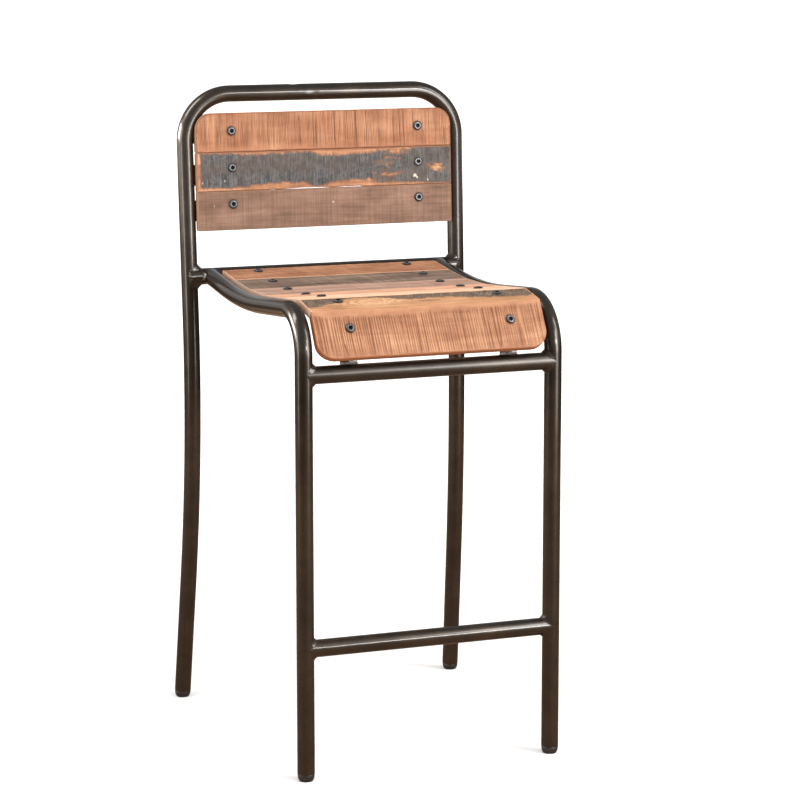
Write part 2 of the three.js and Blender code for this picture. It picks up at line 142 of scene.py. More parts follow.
SIDES = (("left", -1), ("right", 1))
X_AXIS = Vector((1, 0, 0))
Z_AXIS = Vector((0, 0, 1))
RNG = np.random.default_rng(7)
random.seed(7)


# ---- Camera, light and floor ----

def new_object(name, data):
    """An object of the data, put in the scene."""
    made = bpy.data.objects.new(name, data)
    bpy.context.scene.collection.objects.link(made)
    return made


def new_mesh(name, vertices, faces, material):
    """A mesh of one material."""
    mesh = bpy.data.meshes.new(name)
    mesh.from_pydata([tuple(v) for v in vertices], [], [tuple(f) for f in faces])
    mesh.materials.append(material)
    return mesh


def aim_at(item, place, aim):
    """Puts a camera or a light at place and turns it towards aim."""
    item.location = place
    item.rotation_euler = (Vector(aim) - Vector(place)).to_track_quat("-Z", "Y").to_euler()


def add_camera():
    """The photograph's camera, as fitted to the stool."""
    data = bpy.data.cameras.new("camera")
    data.sensor_width = 36.0
    data.lens = 126.3
    data.shift_x = -0.0103
    data.shift_y = -0.0085
    data.clip_end = 200.0
    camera = new_object("camera", data)
    aim_at(camera, (-1.4506, -3.8979, 1.2267), (-0.0338, -0.238, 0.5532))
    bpy.context.scene.camera = camera


def place_light(name, data, place, aim):
    """A light that the camera itself doesn't see."""
    light = new_object(name, data)
    aim_at(light, place, aim)
    light.visible_camera = False
    return light


def add_softbox(name, azimuth, distance, height, size, radiance, aim=None):
    """A rectangular light at an azimuth from the stool's front, seen only in reflections."""
    width, tall = size
    data = bpy.data.lights.new(name, "AREA")
    data.shape = "RECTANGLE"
    data.size = width
    data.size_y = tall
    data.energy = radiance * math.pi * width * tall
    turn = math.radians(azimuth)
    place = (distance * math.sin(turn), -distance * math.cos(turn), height)
    light = place_light(name, data, place, (0.0, 0.0, height if aim is None else aim))
    light.visible_diffuse = False


def add_sun(name, place, energy, angle):
    """A wide sun that lights the stool but leaves no reflection."""
    data = bpy.data.lights.new(name, "SUN")
    data.energy = energy
    data.angle = math.radians(angle)
    sun = place_light(name, data, place, (0.0, 0.0, 0.0))
    sun.visible_glossy = False


def add_lights():
    """Suns for the wood, and softboxes for the streaks and the sheen on the tubes."""
    add_sun("overhead", (0.2, -1.9, 3.4), 2.4, 85)
    add_sun("key", (2.6, -2.9, 3.6), 1.3, 14)
    add_sun("fill", (-3.4, -1.0, 1.7), 1.3, 50)
    add_softbox("strip_right", 34.0, 1.5, 0.84, (0.48, 1.10), 5.5)
    add_softbox("strip_right_high", 32.0, 1.6, 0.97, (0.55, 0.95), 9.5)
    add_softbox("strip_left", -81.0, 1.5, 0.84, (0.32, 1.10), 4.8)
    add_softbox("strip_left_high", -80.0, 1.6, 0.97, (0.30, 0.95), 4.0)
    add_softbox("band", 21.5, 6.0, 1.95, (1.3, 0.40), 70.0)
    add_softbox("left_high", -112.0, 2.2, 1.28, (1.4, 0.70), 32.0, aim=0.65)
    add_softbox("left_top", -98.0, 1.6, 2.6, (0.7, 1.3), 16.0, aim=0.93)
    add_softbox("rear", -168.0, 3.0, 1.45, (5.6, 0.9), 0.32, aim=0.65)
    add_softbox("right_high", 50.0, 2.2, 2.0, (0.7, 1.2), 10.0, aim=0.8)

    world = bpy.data.worlds.new("studio")
    world.use_nodes = True
    background = world.node_tree.nodes["Background"]
    background.inputs["Color"].default_value = (1.0, 0.985, 0.97, 1.0)
    background.inputs["Strength"].default_value = 0.50
    bpy.context.scene.world = world
    bpy.context.scene.view_settings.view_transform = "Standard"
    add_surround()


def add_surround():
    """A tan mat and a low dark screen round the set, seen only in reflections: they give the
    lacquer its brown lower side and its dark flanks."""
    radius, height, sides = 2.6, 0.62, 96
    ring = circle(radius, sides)
    low = [(x, y, 0.001) for x, y in ring]
    high = [(x, y, height) for x, y in ring]
    pieces = [("mat", low, [tuple(range(sides))], (166, 133, 106), (192, 157, 128)),
              ("screen", low + high, band_faces(0, sides, sides), (52, 46, 42), (84, 76, 70))]
    for name, vertices, faces, dark, light in pieces:
        cloth = matt_look(f"{name}_cloth", (9, 9, 3), 3, dark, light, 1.0)
        piece = new_object(name, new_mesh(name, vertices, faces, cloth))
        piece.visible_camera = False
        piece.visible_diffuse = False
        piece.visible_shadow = False


def add_floor():
    """A nearly white floor, wide enough to fill the picture."""
    half = 60.0
    corners = [(-half, -half, 0), (half, -half, 0), (half, half, 0), (-half, half, 0)]
    paint = matt_look("floor_paint", (0.6, 0.6, 0.6), 2, (246, 246, 245), (252, 252, 252), 0.9)
    new_object("floor", new_mesh("floor", corners, [(0, 1, 2, 3)], paint))


# ---- Materials ----

def linear(color):
    """An sRGB triple of 0 to 255 as linear RGBA."""
    def channel(c):
        c = c / 255
        return c / 12.92 if c <= 0.04045 else ((c + 0.055) / 1.055) ** 2.4
    return tuple(channel(c) for c in color) + (1.0,)


def dimmed(color, share):
    """The colour at a share of its brightness."""
    return tuple(share * c for c in color)


class Look:
    """A Principled material and short ways to make the nodes that feed it."""

    def __init__(self, name):
        self.material = bpy.data.materials.new(name)
        self.material.use_nodes = True
        self.tree = self.material.node_tree
        self.shader = self.tree.nodes["Principled BSDF"]

    def feed(self, socket, value):
        if isinstance(value, bpy.types.NodeSocket):
            self.tree.links.new(value, socket)
        else:
            socket.default_value = linear(value) if socket.type == "RGBA" else value

    def set(self, name, value):
        self.feed(self.shader.inputs[name], value)

    def node(self, kind, output, inputs, **settings):
        """One output of a new node that has these inputs and settings."""
        made = self.tree.nodes.new(f"ShaderNode{kind}")
        for key, value in settings.items():
            setattr(made, key, value)
        for key, value in inputs.items():
            self.feed(made.inputs[key], value)
        return made.outputs[output]

    def place(self):
        return self.node("TexCoord", "Object", {})

    def attribute(self, name, output="Fac"):
        return self.node("Attribute", output, {}, attribute_name=name)

    def noise(self, coordinates, scale, detail=4, roughness=0.55, distortion=0.0, turn=0.0):
        turned = self.node("Mapping", "Vector", {"Vector": coordinates, "Rotation": (0.0, 0.0, turn)})
        stretched = self.node("Mapping", "Vector", {"Vector": turned, "Scale": scale})
        return self.node("TexNoise", "Fac", {"Vector": stretched, "Scale": 1.0, "Detail": detail,
                                             "Roughness": roughness, "Distortion": distortion})

    def ramp(self, factor, stops):
        node = self.tree.nodes.new("ShaderNodeValToRGB")
        elements = node.color_ramp.elements
        while len(elements) < len(stops):
            elements.new(0.5)
        for element, (position, color) in zip(elements, stops):
            element.position = position
            element.color = linear(color)
        self.feed(node.inputs["Fac"], factor)
        return node.outputs["Color"]

    def span(self, value, low, high, to_low=0.0, to_high=1.0):
        """value mapped from low..high to to_low..to_high, and held at the ends."""
        return self.node("MapRange", "Result", {"Value": value, "From Min": low, "From Max": high,
                                                "To Min": to_low, "To Max": to_high})

    def math(self, operation, *values):
        return self.node("Math", "Value", dict(enumerate(values)), operation=operation)

    def product(self, a, b):
        return self.math("MULTIPLY", a, b)

    def weigh(self, values, weights):
        """Noise values mixed so that the middle stays at 0.5, whatever their weights."""
        total = 0.5 - 0.5 * sum(weights)
        for value, weight in zip(values, weights):
            total = self.math("MULTIPLY_ADD", value, weight, total)
        return total

    def mix(self, factor, a, b, blend="MIX"):
        return self.node("Mix", 2, {"Factor": factor, 6: a, 7: b}, data_type="RGBA", blend_type=blend)

    def bump(self, height, strength, distance):
        return self.node("Bump", "Normal", {"Height": height, "Strength": strength, "Distance": distance})


def matt_look(name, scale, detail, dark, light, roughness):
    """Cloudy paint or cloth without a sheen."""
    look = Look(name)
    cloud = look.noise(look.place(), scale, detail=detail)
    look.set("Base Color", look.ramp(cloud, [(0.3, dark), (0.7, light)]))
    look.set("Roughness", roughness)
    look.set("Specular IOR Level", 0.0)
    return look.material


def wood_look(name, tones, grain=(0.5, 0.6, 0.35), hatch=0.3, slant=0.0, cut=(92, 54, 38),
              arris=(150, 92, 62), arris_share=0.5, end=(214, 160, 122), paint=None):
    """Sawn hardwood. tones run from dark to light; grain weighs fine streaks, swirls and blotches;
    hatch is the strength of the fine saw texture and slant its turn; paint gives the colours of a
    weathered skin. The cut colour is painted shade in the saw cuts and round the screw heads; end
    is the colour of the walls, set light on the seat planks as painted light on their shaded ends."""
    look = Look(name)
    board = look.attribute("board", "Vector")
    dark, middle, light = tones
    streak = look.noise(board, (11, 460, 120), detail=6, roughness=0.62, distortion=0.2)
    swirl = look.noise(board, (5.5, 46, 42), distortion=0.9)
    blotch = look.noise(board, (18, 24, 30))
    figure = look.product(look.attribute("figure"), 0.28)
    mixed = look.math("SUBTRACT", look.weigh([streak, swirl, blotch], grain), figure)
    color = look.ramp(look.span(mixed, 0.32, 0.68), [(0.0, dark), (0.5, middle), (1.0, light)])

    saw = look.noise(board, (1 / SAW_PITCH, 9, 16), detail=3, roughness=0.75, turn=slant)
    coarse = look.noise(board, (0.3 / SAW_PITCH, 7, 16), detail=2, roughness=0.6, turn=slant)
    sawn = look.weigh([saw, coarse], (1.0, 0.8))
    shade = look.span(sawn, 0.30, 0.62, 1.0 - hatch, 1.0 + 0.22 * hatch)
    color = look.mix(look.attribute("rough"), color, look.mix(1.0, color, shade, "MULTIPLY"))
    pores = look.span(look.noise(board, (110, 2300, 600), detail=2), 0.60, 0.74)
    color = look.mix(look.product(pores, 0.2), color, dimmed(dark, 0.45))
    # Saw cuts, screw rings and scratches take the cut colour: painted shade in the grooves and round the
    # heads.
    color = look.mix(look.attribute("cut"), color, cut)
    if paint:
        color = weathered(look, board, color, paint, slant)
    color = look.mix(look.attribute("chip"), color, (228, 218, 196))

    rim = look.weigh([look.attribute("edge"), look.noise(board, (60, 220, 60))], (1.0, 1.2))
    color = look.mix(look.span(rim, 1.0 - arris_share, 1.25 - arris_share), color, arris)
    rings = look.span(look.noise(board, (40, 900, 900)), 0.35, 0.65)
    # The walls take the end colour; on the seat planks it is set light, painted light on their ends, which
    # face away from the key light.
    color = look.mix(look.attribute("side"), color, look.mix(rings, dimmed(end, 0.72), end))
    look.set("Base Color", color)
    look.set("Roughness", look.span(mixed, 0.3, 0.7, 0.78, 0.58))
    look.set("Specular IOR Level", 0.25)
    relief = look.weigh([streak, sawn, pores], (0.5, 0.4 + 1.2 * hatch, -0.4))
    look.set("Normal", look.bump(relief, 0.6, 0.0007))
    return look.material


def weathered(look, board, bare, paint, slant):
    """The bare wood under a skin that wears thin where the paint layer is low. paint is the stain
    that a worn skin leaves and the skin's own dark and light."""
    stain, dark, light = paint
    brush = look.noise(board, (0.9 / SAW_PITCH, 34, 60), detail=5, roughness=0.75, turn=slant)
    patch = look.noise(board, (90, 90, 34), detail=6, roughness=0.75)
    tone = look.span(look.weigh([brush, patch], (1.0, 0.55)), 0.22, 0.80)
    skin = look.ramp(tone, [(0.0, dimmed(dark, 0.5)), (0.4, dark), (1.0, light)])
    tinge = look.span(look.noise(board, (22, 30, 30), detail=3), 0.40, 0.60)
    between = tuple(0.5 * (a + b) for a, b in zip(stain, dark))
    skin = look.mix(look.product(tinge, 0.45), skin, between)
    left = look.weigh([look.attribute("paint"), brush, patch], (1.0, 1.0, 1.4))
    color = look.mix(look.product(look.span(left, 0.16, 0.44), 0.85), bare, stain)
    return look.mix(look.span(left, 0.40, 0.64), color, skin)


def lacquer_look():
    """Bronze-black lacquer over steel tube: drawn lines along the tube, orange peel, a few specks."""
    look = Look("frame_lacquer")
    place = look.place()
    drawn = look.noise(look.attribute("run", "Vector"), (6, 900, 1), roughness=0.6)
    tint = look.weigh([drawn, look.noise(place, (26, 26, 26))], (0.45, 0.55))
    tones = [(0.0, (38, 33, 28)), (0.5, (50, 43, 37)), (1.0, (64, 55, 46))]
    color = look.ramp(look.span(tint, 0.34, 0.66), tones)
    speck = look.span(look.noise(place, (900, 900, 900), detail=1), 0.74, 0.79)
    near = look.span(look.noise(place, (14, 14, 14), detail=2), 0.54, 0.66)
    speck = look.product(speck, near)
    look.set("Base Color", look.mix(look.product(speck, 0.8), color, (120, 108, 92)))
    look.set("Metallic", 0.9)
    look.set("Roughness", look.span(tint, 0.3, 0.7, 0.50, 0.38))
    look.set("Specular Tint", (120, 104, 88))
    look.set("Coat Weight", 0.75)
    look.set("Coat Roughness", look.span(look.attribute("dull"), 0.0, 1.0, 0.16, 0.34))
    look.set("Coat IOR", 1.45)
    peel = look.noise(place, (260, 260, 260), detail=3)
    look.set("Normal", look.bump(look.math("ADD", peel, look.product(speck, 1.5)), 0.10, 0.0004))
    return look.material


def bar_look():
    """Flat bar under dark lacquer, scraped to bare grey steel where its bare attribute says."""
    look = Look("bar_steel")
    place = look.place()
    cloud = look.noise(place, (60, 60, 60), detail=5, roughness=0.65)
    scratch = look.noise(place, (500, 40, 60), detail=3)
    dark = look.ramp(look.span(cloud, 0.35, 0.65), [(0.0, (44, 36, 30)), (1.0, (74, 62, 52))])
    bright = look.ramp(look.span(scratch, 0.3, 0.7), [(0.0, (160, 157, 152)), (1.0, (232, 230, 226))])
    mask = look.span(look.weigh([look.attribute("bare"), cloud], (1.0, 1.6)), 0.5, 0.62)
    look.set("Base Color", look.mix(mask, dark, bright))
    look.set("Metallic", look.span(mask, 0.0, 1.0, 0.8, 0.15))
    look.set("Roughness", look.span(scratch, 0.3, 0.7, 0.5, 0.32))
    look.set("Normal", look.bump(look.math("ADD", scratch, cloud), 0.25, 0.0003))
    return look.material


def screw_look():
    """Zinc steel gone grey, with painted shade, near black and without sheen, in the socket and round the
    rim.
    """
    look = Look("screw_steel")
    place = look.place()
    cloud = look.noise(place, (420, 420, 420))
    turned = look.noise(place, (900, 900, 120), detail=2)
    steel = look.ramp(look.span(cloud, 0.3, 0.7), [(0.0, (56, 56, 58)), (1.0, (108, 109, 110))])
    # Painted shade: the socket and the foot of the dome turn near black and lose their sheen.
    grime = look.span(look.weigh([look.attribute("grime"), cloud], (1.0, 0.8)), 0.30, 0.72)
    look.set("Base Color", look.mix(grime, steel, (16, 15, 15)))
    look.set("Metallic", look.span(grime, 0.0, 1.0, 0.75, 0.0))
    look.set("Specular IOR Level", look.span(grime, 0.0, 1.0, 0.5, 0.05))
    look.set("Roughness", look.span(turned, 0.3, 0.7, 0.32, 0.48))
    look.set("Normal", look.bump(turned, 0.15, 0.0001))
    return look.material


def glide_look():
    """Moulded black plastic, scuffed at the sole."""
    look = Look("glide_plastic")
    place = look.place()
    grainy = look.noise(place, (900, 900, 900), detail=2)
    dust = look.span(look.noise(place, (160, 160, 420)), 0.55, 0.75)
    look.set("Base Color", look.mix(look.product(dust, 0.5), (24, 21, 20), (84, 74, 66)))
    look.set("Roughness", look.span(grainy, 0.3, 0.7, 0.38, 0.62))
    look.set("Normal", look.bump(grainy, 0.3, 0.0002))
    return look.material


# ---- Small helpers ----

def lattice(u, v, seed):
    """Smooth value noise of 0 to 1 on the plane."""
    table = np.random.default_rng(seed).random((64, 64))
    iu, iv = np.floor(u).astype(int), np.floor(v).astype(int)
    fu, fv = u - iu, v - iv
    fu, fv = fu * fu * (3 - 2 * fu), fv * fv * (3 - 2 * fv)
    a, b = table[iu % 64, iv % 64], table[(iu + 1) % 64, iv % 64]
    c, d = table[iu % 64, (iv + 1) % 64], table[(iu + 1) % 64, (iv + 1) % 64]
    return (a * (1 - fu) + b * fu) * (1 - fv) + (c * (1 - fu) + d * fu) * fv


def octaves(u, v, seed, count=4):
    """Value noise in several scales, 0 to 1."""
    total, weight = 0.0, 0.0
    for k in range(count):
        total = total + lattice(u * 2 ** k, v * 2 ** k, seed + k) * 0.55 ** k
        weight += 0.55 ** k
    return total / weight


def ease(x, low, high):
    """0 below low, 1 above high, and smooth between."""
    t = np.clip((x - low) / (high - low), 0, 1)
    return t * t * (3 - 2 * t)


def in_side_plane(x, back, z):
    """A point of the frame, given how far it is behind the front legs."""
    return Vector((x, LEG_Y + back, z))


def finish_piece(name, vertices, faces, material, nodes=(), layers=None, crease=38.0):
    """Makes an object of the mesh, lets it ride on the stool and stand for the CAD nodes."""
    mesh = new_mesh(name, vertices, faces, material)
    mesh.shade_smooth()
    mesh.set_sharp_from_angle(angle=math.radians(crease))
    for layer, values in (layers or {}).items():
        values = np.asarray(values, np.float32)
        kind, key = ("FLOAT_VECTOR", "vector") if values.ndim == 2 else ("FLOAT", "value")
        mesh.attributes.new(layer, kind, "POINT").data.foreach_set(key, values.ravel())
    mesh.update()
    declare(new_object(name, mesh), nodes)


def declare(piece, nodes=()):
    """Says what the piece rides on and the CAD nodes that it stands for."""
    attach(piece, "root")
    if nodes:
        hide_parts(*nodes)


def band_faces(start_a, start_b, sides):
    """Quads between two closed rings, each of so many vertices."""
    return [(start_a + k, start_a + (k + 1) % sides, start_b + (k + 1) % sides, start_b + k)
            for k in range(sides)]


def wall_faces(start, count, sides):
    """Quads between a number of closed rings that follow one another."""
    firsts = range(start, start + count * sides, sides)
    return [face for a, b in zip(firsts, firsts[1:]) for face in band_faces(a, b, sides)]


def end_caps(count, sides):
    """The faces that close both ends of a run of rings."""
    return [tuple(range(sides))[::-1], tuple(range((count - 1) * sides, count * sides))]


# ---- Tubes and bars ----

def bent_path(start, corners, end, straight_step=0.03):
    """Stations (point, tangent) along straight runs joined by arcs. A corner is (point, radius)."""
    targets = [at for at, _ in corners] + [end]
    stations = [(start, targets[0] - start)]
    previous = start
    for (at, radius), following in zip(corners, targets[1:]):
        incoming = (at - previous).normalized()
        outgoing = (following - at).normalized()
        angle = incoming.angle(outgoing)
        axis = incoming.cross(outgoing).normalized()
        inward = axis.cross(incoming)
        centre = at - incoming * radius * math.tan(angle / 2) + inward * radius
        steps = max(10, math.ceil(angle / math.radians(3)))
        for k in range(steps + 1):
            turn = Matrix.Rotation(angle * k / steps, 3, axis)
            stations.append((centre - turn @ inward * radius, turn @ incoming))
        previous = at
    stations.append((end, end - previous))
    filled = []
    for (p, t), (q, _) in zip(stations, stations[1:]):
        steps = max(1, round((q - p).length / straight_step))
        filled += [(p.lerp(q, k / steps), t.normalized()) for k in range(steps)]
    return filled + [(end, stations[-1][1].normalized())]


def sweep_rings(stations, section):
    """The section's (a, b) points at each station, carried along without twist: (n, m, 3)."""
    tangent = stations[0][1]
    side = tangent.cross(Z_AXIS)
    side = (side if side.length > 0.1 else tangent.cross(Vector((0, 1, 0)))).normalized()
    rings = []
    for point, following in stations:
        side = (tangent.rotation_difference(following) @ side).normalized()
        tangent = following
        other = tangent.cross(side)
        rings.append(np.array(point) + section[:, :1] * np.array(side) + section[:, 1:] * np.array(other))
    return np.array(rings)


def circle(radius, sides):
    """Points round a circle, as (a, b)."""
    angle = np.arange(sides) * 2 * np.pi / sides
    return np.stack([radius * np.cos(angle), radius * np.sin(angle)], axis=1)


def onto_tube(points, direction, mate, radius):
    """Where rays from the points first meet a tube whose axis is mate = (point, direction)."""
    axis = np.array(mate[1].normalized())
    d = np.array(direction)
    w = points - np.array(mate[0])
    w_flat = w - (w @ axis)[:, None] * axis
    d_flat = d - (d @ axis) * axis
    a = d_flat @ d_flat
    b = 2 * w_flat @ d_flat
    c = (w_flat ** 2).sum(1) - radius ** 2
    t = (-b - np.sqrt(np.maximum(b * b - 4 * a * c, 0))) / (2 * a)
    return points + t[:, None] * d


def trimmed(stations, mates):
    """Stations short of the mating tubes at the start and end of the run."""
    clear = 1.7 * TUBE_R
    (start, first_way), (end, last_way) = stations[0], stations[-1]
    kept = stations
    if mates[0]:
        kept = [s for s in kept if (s[0] - start).length > clear]
        kept = [(start + first_way * clear, first_way)] + kept
    if mates[1]:
        kept = [s for s in kept if (s[0] - end).length > clear]
        kept = kept + [(end - last_way * clear, last_way)]
    return kept


def cope(rings, stations, mates):
    """Adds a ring at each end that has a mate, fitted to the mating tube."""
    parts = [rings]
    if mates[0]:
        parts.insert(0, onto_tube(rings[0], -stations[0][1], mates[0], TUBE_R + GAP)[None])
    if mates[1]:
        parts.append(onto_tube(rings[-1], stations[-1][1], mates[1], TUBE_R + GAP)[None])
    return np.concatenate(parts)


def dent(rings, at, axis, depth, width):
    """Presses a small hollow into the tube, centred on the point at, along the direction axis."""
    offset = rings - np.array(at)
    far = (offset ** 2).sum(-1)
    return rings + np.exp(-far / width ** 2)[..., None] * np.array(axis) * depth


def add_tube(name, stations, node, mates=(None, None), dents=(), dull=0.0, weld=RAIL_WELD):
    """A hollow tube along the stations, coped to its mates and welded to them."""
    run = trimmed(stations, mates)
    outer = cope(sweep_rings(run, circle(TUBE_R, TUBE_SIDES)), run, mates)
    inner = cope(sweep_rings(run, circle(TUBE_R - TUBE_WALL, TUBE_SIDES)), run, mates)
    for press in dents:
        outer = dent(outer, *press)
    count, sides = outer.shape[:2]
    size = count * sides
    faces = wall_faces(0, count, sides) + band_faces(size - sides, 2 * size - sides, sides)
    faces = [f[::-1] for f in faces] + wall_faces(size, count, sides) + band_faces(0, size, sides)
    steps = np.linalg.norm(np.diff(outer.mean(1), axis=0), axis=1)
    run_layer = np.zeros((2, count, sides, 3))
    run_layer[..., 0] = np.concatenate([[0], np.cumsum(steps)])[:, None]
    run_layer[..., 1] = np.arange(sides) * 2 * np.pi * TUBE_R / sides
    vertices = np.concatenate([outer.reshape(-1, 3), inner.reshape(-1, 3)])
    layers = {"run": run_layer.reshape(-1, 3), "dull": np.full(len(vertices), dull)}
    finish_piece(name, vertices, faces, LACQUER, [node], layers, crease=50)
    for key, (point, tangent), mate, way in zip("ab", (run[0], run[-1]), mates, (-1, 1)):
        if mate:
            add_tube_weld(f"{name}_weld_{key}", point, tangent * way, mate, weld)


def away_from(mate, points):
    """Unit vectors from the mate's axis to the points, and the distances."""
    axis = np.array(mate[1].normalized())
    offset = points - np.array(mate[0])
    flat = offset - (offset @ axis)[:, None] * axis
    distance = np.linalg.norm(flat, axis=1)[:, None]
    return flat / distance, distance


def bead_sizes(count, size):
    """The reach of a weld at each of its stations: lumpy, with fine ripples."""
    step = 2 * np.pi * np.arange(count) / count
    seed = int(RNG.integers(1000))
    lump = 0.68 + 0.70 * octaves(3 + 2.4 * np.cos(step), 3 + 2.4 * np.sin(step), seed)
    return (size * (lump + 0.05 * np.sin(RIPPLES * step)))[:, None]


def add_tube_weld(name, point, direction, mate, size):
    """The weld round the end of a tube that runs into its mate."""
    ring = sweep_rings([(point, direction)], circle(TUBE_R, WELD_SIDES))[0]
    seam = onto_tube(ring, direction, mate, TUBE_R)
    radial = (ring - np.array(point)) / TUBE_R
    d = np.array(direction)
    surface, _ = away_from(mate, seam)
    onto = radial - (radial * surface).sum(1)[:, None] * surface
    onto += 0.5 * (d - (surface @ d)[:, None] * surface)
    onto /= np.linalg.norm(onto, axis=1)[:, None]
    add_weld(name, seam, size, -d, onto, mate, closed=True, sink=SUNK * radial)


def add_weld(name, seam, size, up, onto, mate, closed=False, sink=0.0, slot="frame_lacquer"):
    """A bead along the seam that reaches up the joined piece and onto the mating tube."""
    reach = bead_sizes(len(seam), size)
    foot = seam + reach * onto
    away, distance = away_from(mate, foot)
    foot = foot + (TUBE_R - SUNK - distance) * away
    add_bead(name, seam, seam + reach * up - sink, foot, closed, slot)


def add_bead(name, seam, start, end, closed, slot):
    """A full fillet from start to end, over the corner between them at the seam."""
    count = len(seam)
    control = 0.16 * seam + 0.42 * (start + end)
    loops = [(1 - q) ** 2 * start + 2 * q * (1 - q) * control + q ** 2 * end for q in np.linspace(0, 1, 7)]
    loops.append(seam - 0.5 * (0.5 * (start + end) - seam))
    rows = len(loops)
    vertices = np.stack(loops, axis=1).reshape(-1, 3)
    faces = wall_faces(0, count, rows)
    faces += band_faces((count - 1) * rows, 0, rows) if closed else end_caps(count, rows)
    run_layer = np.zeros((len(vertices), 3))
    run_layer[:, 0] = np.repeat(np.arange(count) * 0.0005, rows)
    material = BAR if slot == "bar_steel" else LACQUER
    layers = {"run": run_layer, "bare": np.full(len(vertices), 0.85)}
    finish_piece(name, vertices, outward(vertices, faces), material, layers=layers, crease=60)


def outward(vertices, faces):
    """The faces turned so that the closed mesh has a positive volume."""
    points = np.asarray(vertices)
    volume = sum(points[face[0]] @ np.cross(points[i], points[j])
                 for face in faces for i, j in zip(face[1:], face[2:]))
    return faces if volume > 0 else [f[::-1] for f in faces]


def rounded_bar(width, thickness, steps=3):
    """The outline of a flat bar with rounded edges, as (across, through) points."""
    half_w, half_t = width / 2 - BAR_EDGE_R, thickness / 2 - BAR_EDGE_R
    corners = [(half_w, half_t, 0), (-half_w, half_t, 90), (-half_w, -half_t, 180), (half_w, -half_t, 270)]
    points = []
    for cx, cy, turn in corners:
        for k in range(steps + 1):
            angle = math.radians(turn + 90 * k / steps)
            points.append((cx + BAR_EDGE_R * math.cos(angle), cy + BAR_EDGE_R * math.sin(angle)))
    return np.array(points)


def add_bar(name, rings, node, bare=None):
    """A solid bar through the rings, closed at both ends."""
    count, sides = rings.shape[:2]
    faces = wall_faces(0, count, sides) + end_caps(count, sides)
    vertices = rings.reshape(-1, 3)
    layer = np.zeros(len(vertices)) if bare is None else bare(vertices)
    finish_piece(name, vertices, outward(vertices, faces), BAR, [node], {"bare": layer}, 50)


# ---- Frame ----

def side_path(side):
    """A front leg and the seat rail that it bends into."""
    dish_x = LEG_X + (RAIL_REAR_X - LEG_X) * DISH_BACK / REAR_CROSS_BACK
    bend = (in_side_plane(side * LEG_X, 0, RAIL_FRONT_Z), LEFT_BEND_R if side < 0 else RIGHT_BEND_R)
    dish = (in_side_plane(side * dish_x, DISH_BACK, DISH_Z), DISH_R)
    rear = in_side_plane(side * RAIL_REAR_X, REAR_CROSS_BACK, REAR_CROSS_Z)
    return bent_path(in_side_plane(side * LEG_X, 0, GLIDE_H), [bend, dish], rear)


def upright_back(z):
    """How far back the leaning uprights are at height z."""
    return KNEE_BACK + UPRIGHT_LEAN * (z - KNEE_Z)


def knee(side):
    return in_side_plane(side * KNEE_X, KNEE_BACK, KNEE_Z)


def arch_corner(side):
    return in_side_plane(side * ARCH_X, upright_back(ARCH_Z), ARCH_Z)


def back_path():
    """The bent tube from the left rear foot over the arch to the right one."""
    def foot(side):
        sole = in_side_plane(side * REAR_FOOT_X, REAR_FOOT_BACK, 0)
        return sole.lerp(knee(side), GLIDE_H / KNEE_Z)
    corners = [(knee(-1), KNEE_R), (arch_corner(-1), ARCH_R), (arch_corner(1), ARCH_R), (knee(1), KNEE_R)]
    return bent_path(foot(-1), corners, foot(1), straight_step=0.006)


def upright(side):
    """The axis of the back tube above its knee, as (point, direction)."""
    return knee(side), arch_corner(side) - knee(side)


def cross_path(half_width, back, z):
    """A straight level run from left to right."""
    return bent_path(in_side_plane(-half_width, back, z), [], in_side_plane(half_width, back, z))


def add_frame():
    """All the tubes with their welds and glides; returns the left side tube's stations."""
    paths = {name: side_path(side) for name, side in SIDES}
    back = back_path()
    legs = [(in_side_plane(side * LEG_X, 0, 0), Z_AXIS) for _, side in SIDES]
    rear = (in_side_plane(0, REAR_CROSS_BACK, REAR_CROSS_Z), X_AXIS)

    top = in_side_plane(0, upright_back(ARCH_Z), ARCH_Z)
    # A small crimp on top of the arch, and a dent in its front.
    dents = [(top + Vector((-0.045, 0, TUBE_R)), (0, 0, -1), 0.0011, 0.0045),
             (top + Vector((-0.018, -TUBE_R, 0.002)), (0, 1, 0), 0.0008, 0.005)]
    add_tube("back_frame_tube", back, "back_frame", dents=dents)
    for name, path in paths.items():
        add_tube(f"side_frame_tube_{name}", path, f"side_frame_{name}", (None, rear))
    half_rear = KNEE_X + (ARCH_X - KNEE_X) * (REAR_CROSS_Z - KNEE_Z) / (ARCH_Z - KNEE_Z)
    add_tube("rear_crossbar", cross_path(half_rear, REAR_CROSS_BACK, REAR_CROSS_Z), "rear_cross_tube",
             [upright(side) for _, side in SIDES], weld=REAR_WELD)
    add_tube("front_crossbar", cross_path(LEG_X, 0, FRONT_CROSS_Z), "front_cross_tube", legs,
             dull=0.8, weld=FRONT_WELD)
    add_tube("footrest_bar", cross_path(LEG_X, 0, FOOTREST_Z), "footrest_tube", legs, weld=FOOTREST_WELD)

    for name, path in paths.items():
        add_glide(f"front_{name}", *path[0])
    add_glide("rear_left", *back[0])
    add_glide("rear_right", back[-1][0], -back[-1][1])
    return paths["left"]


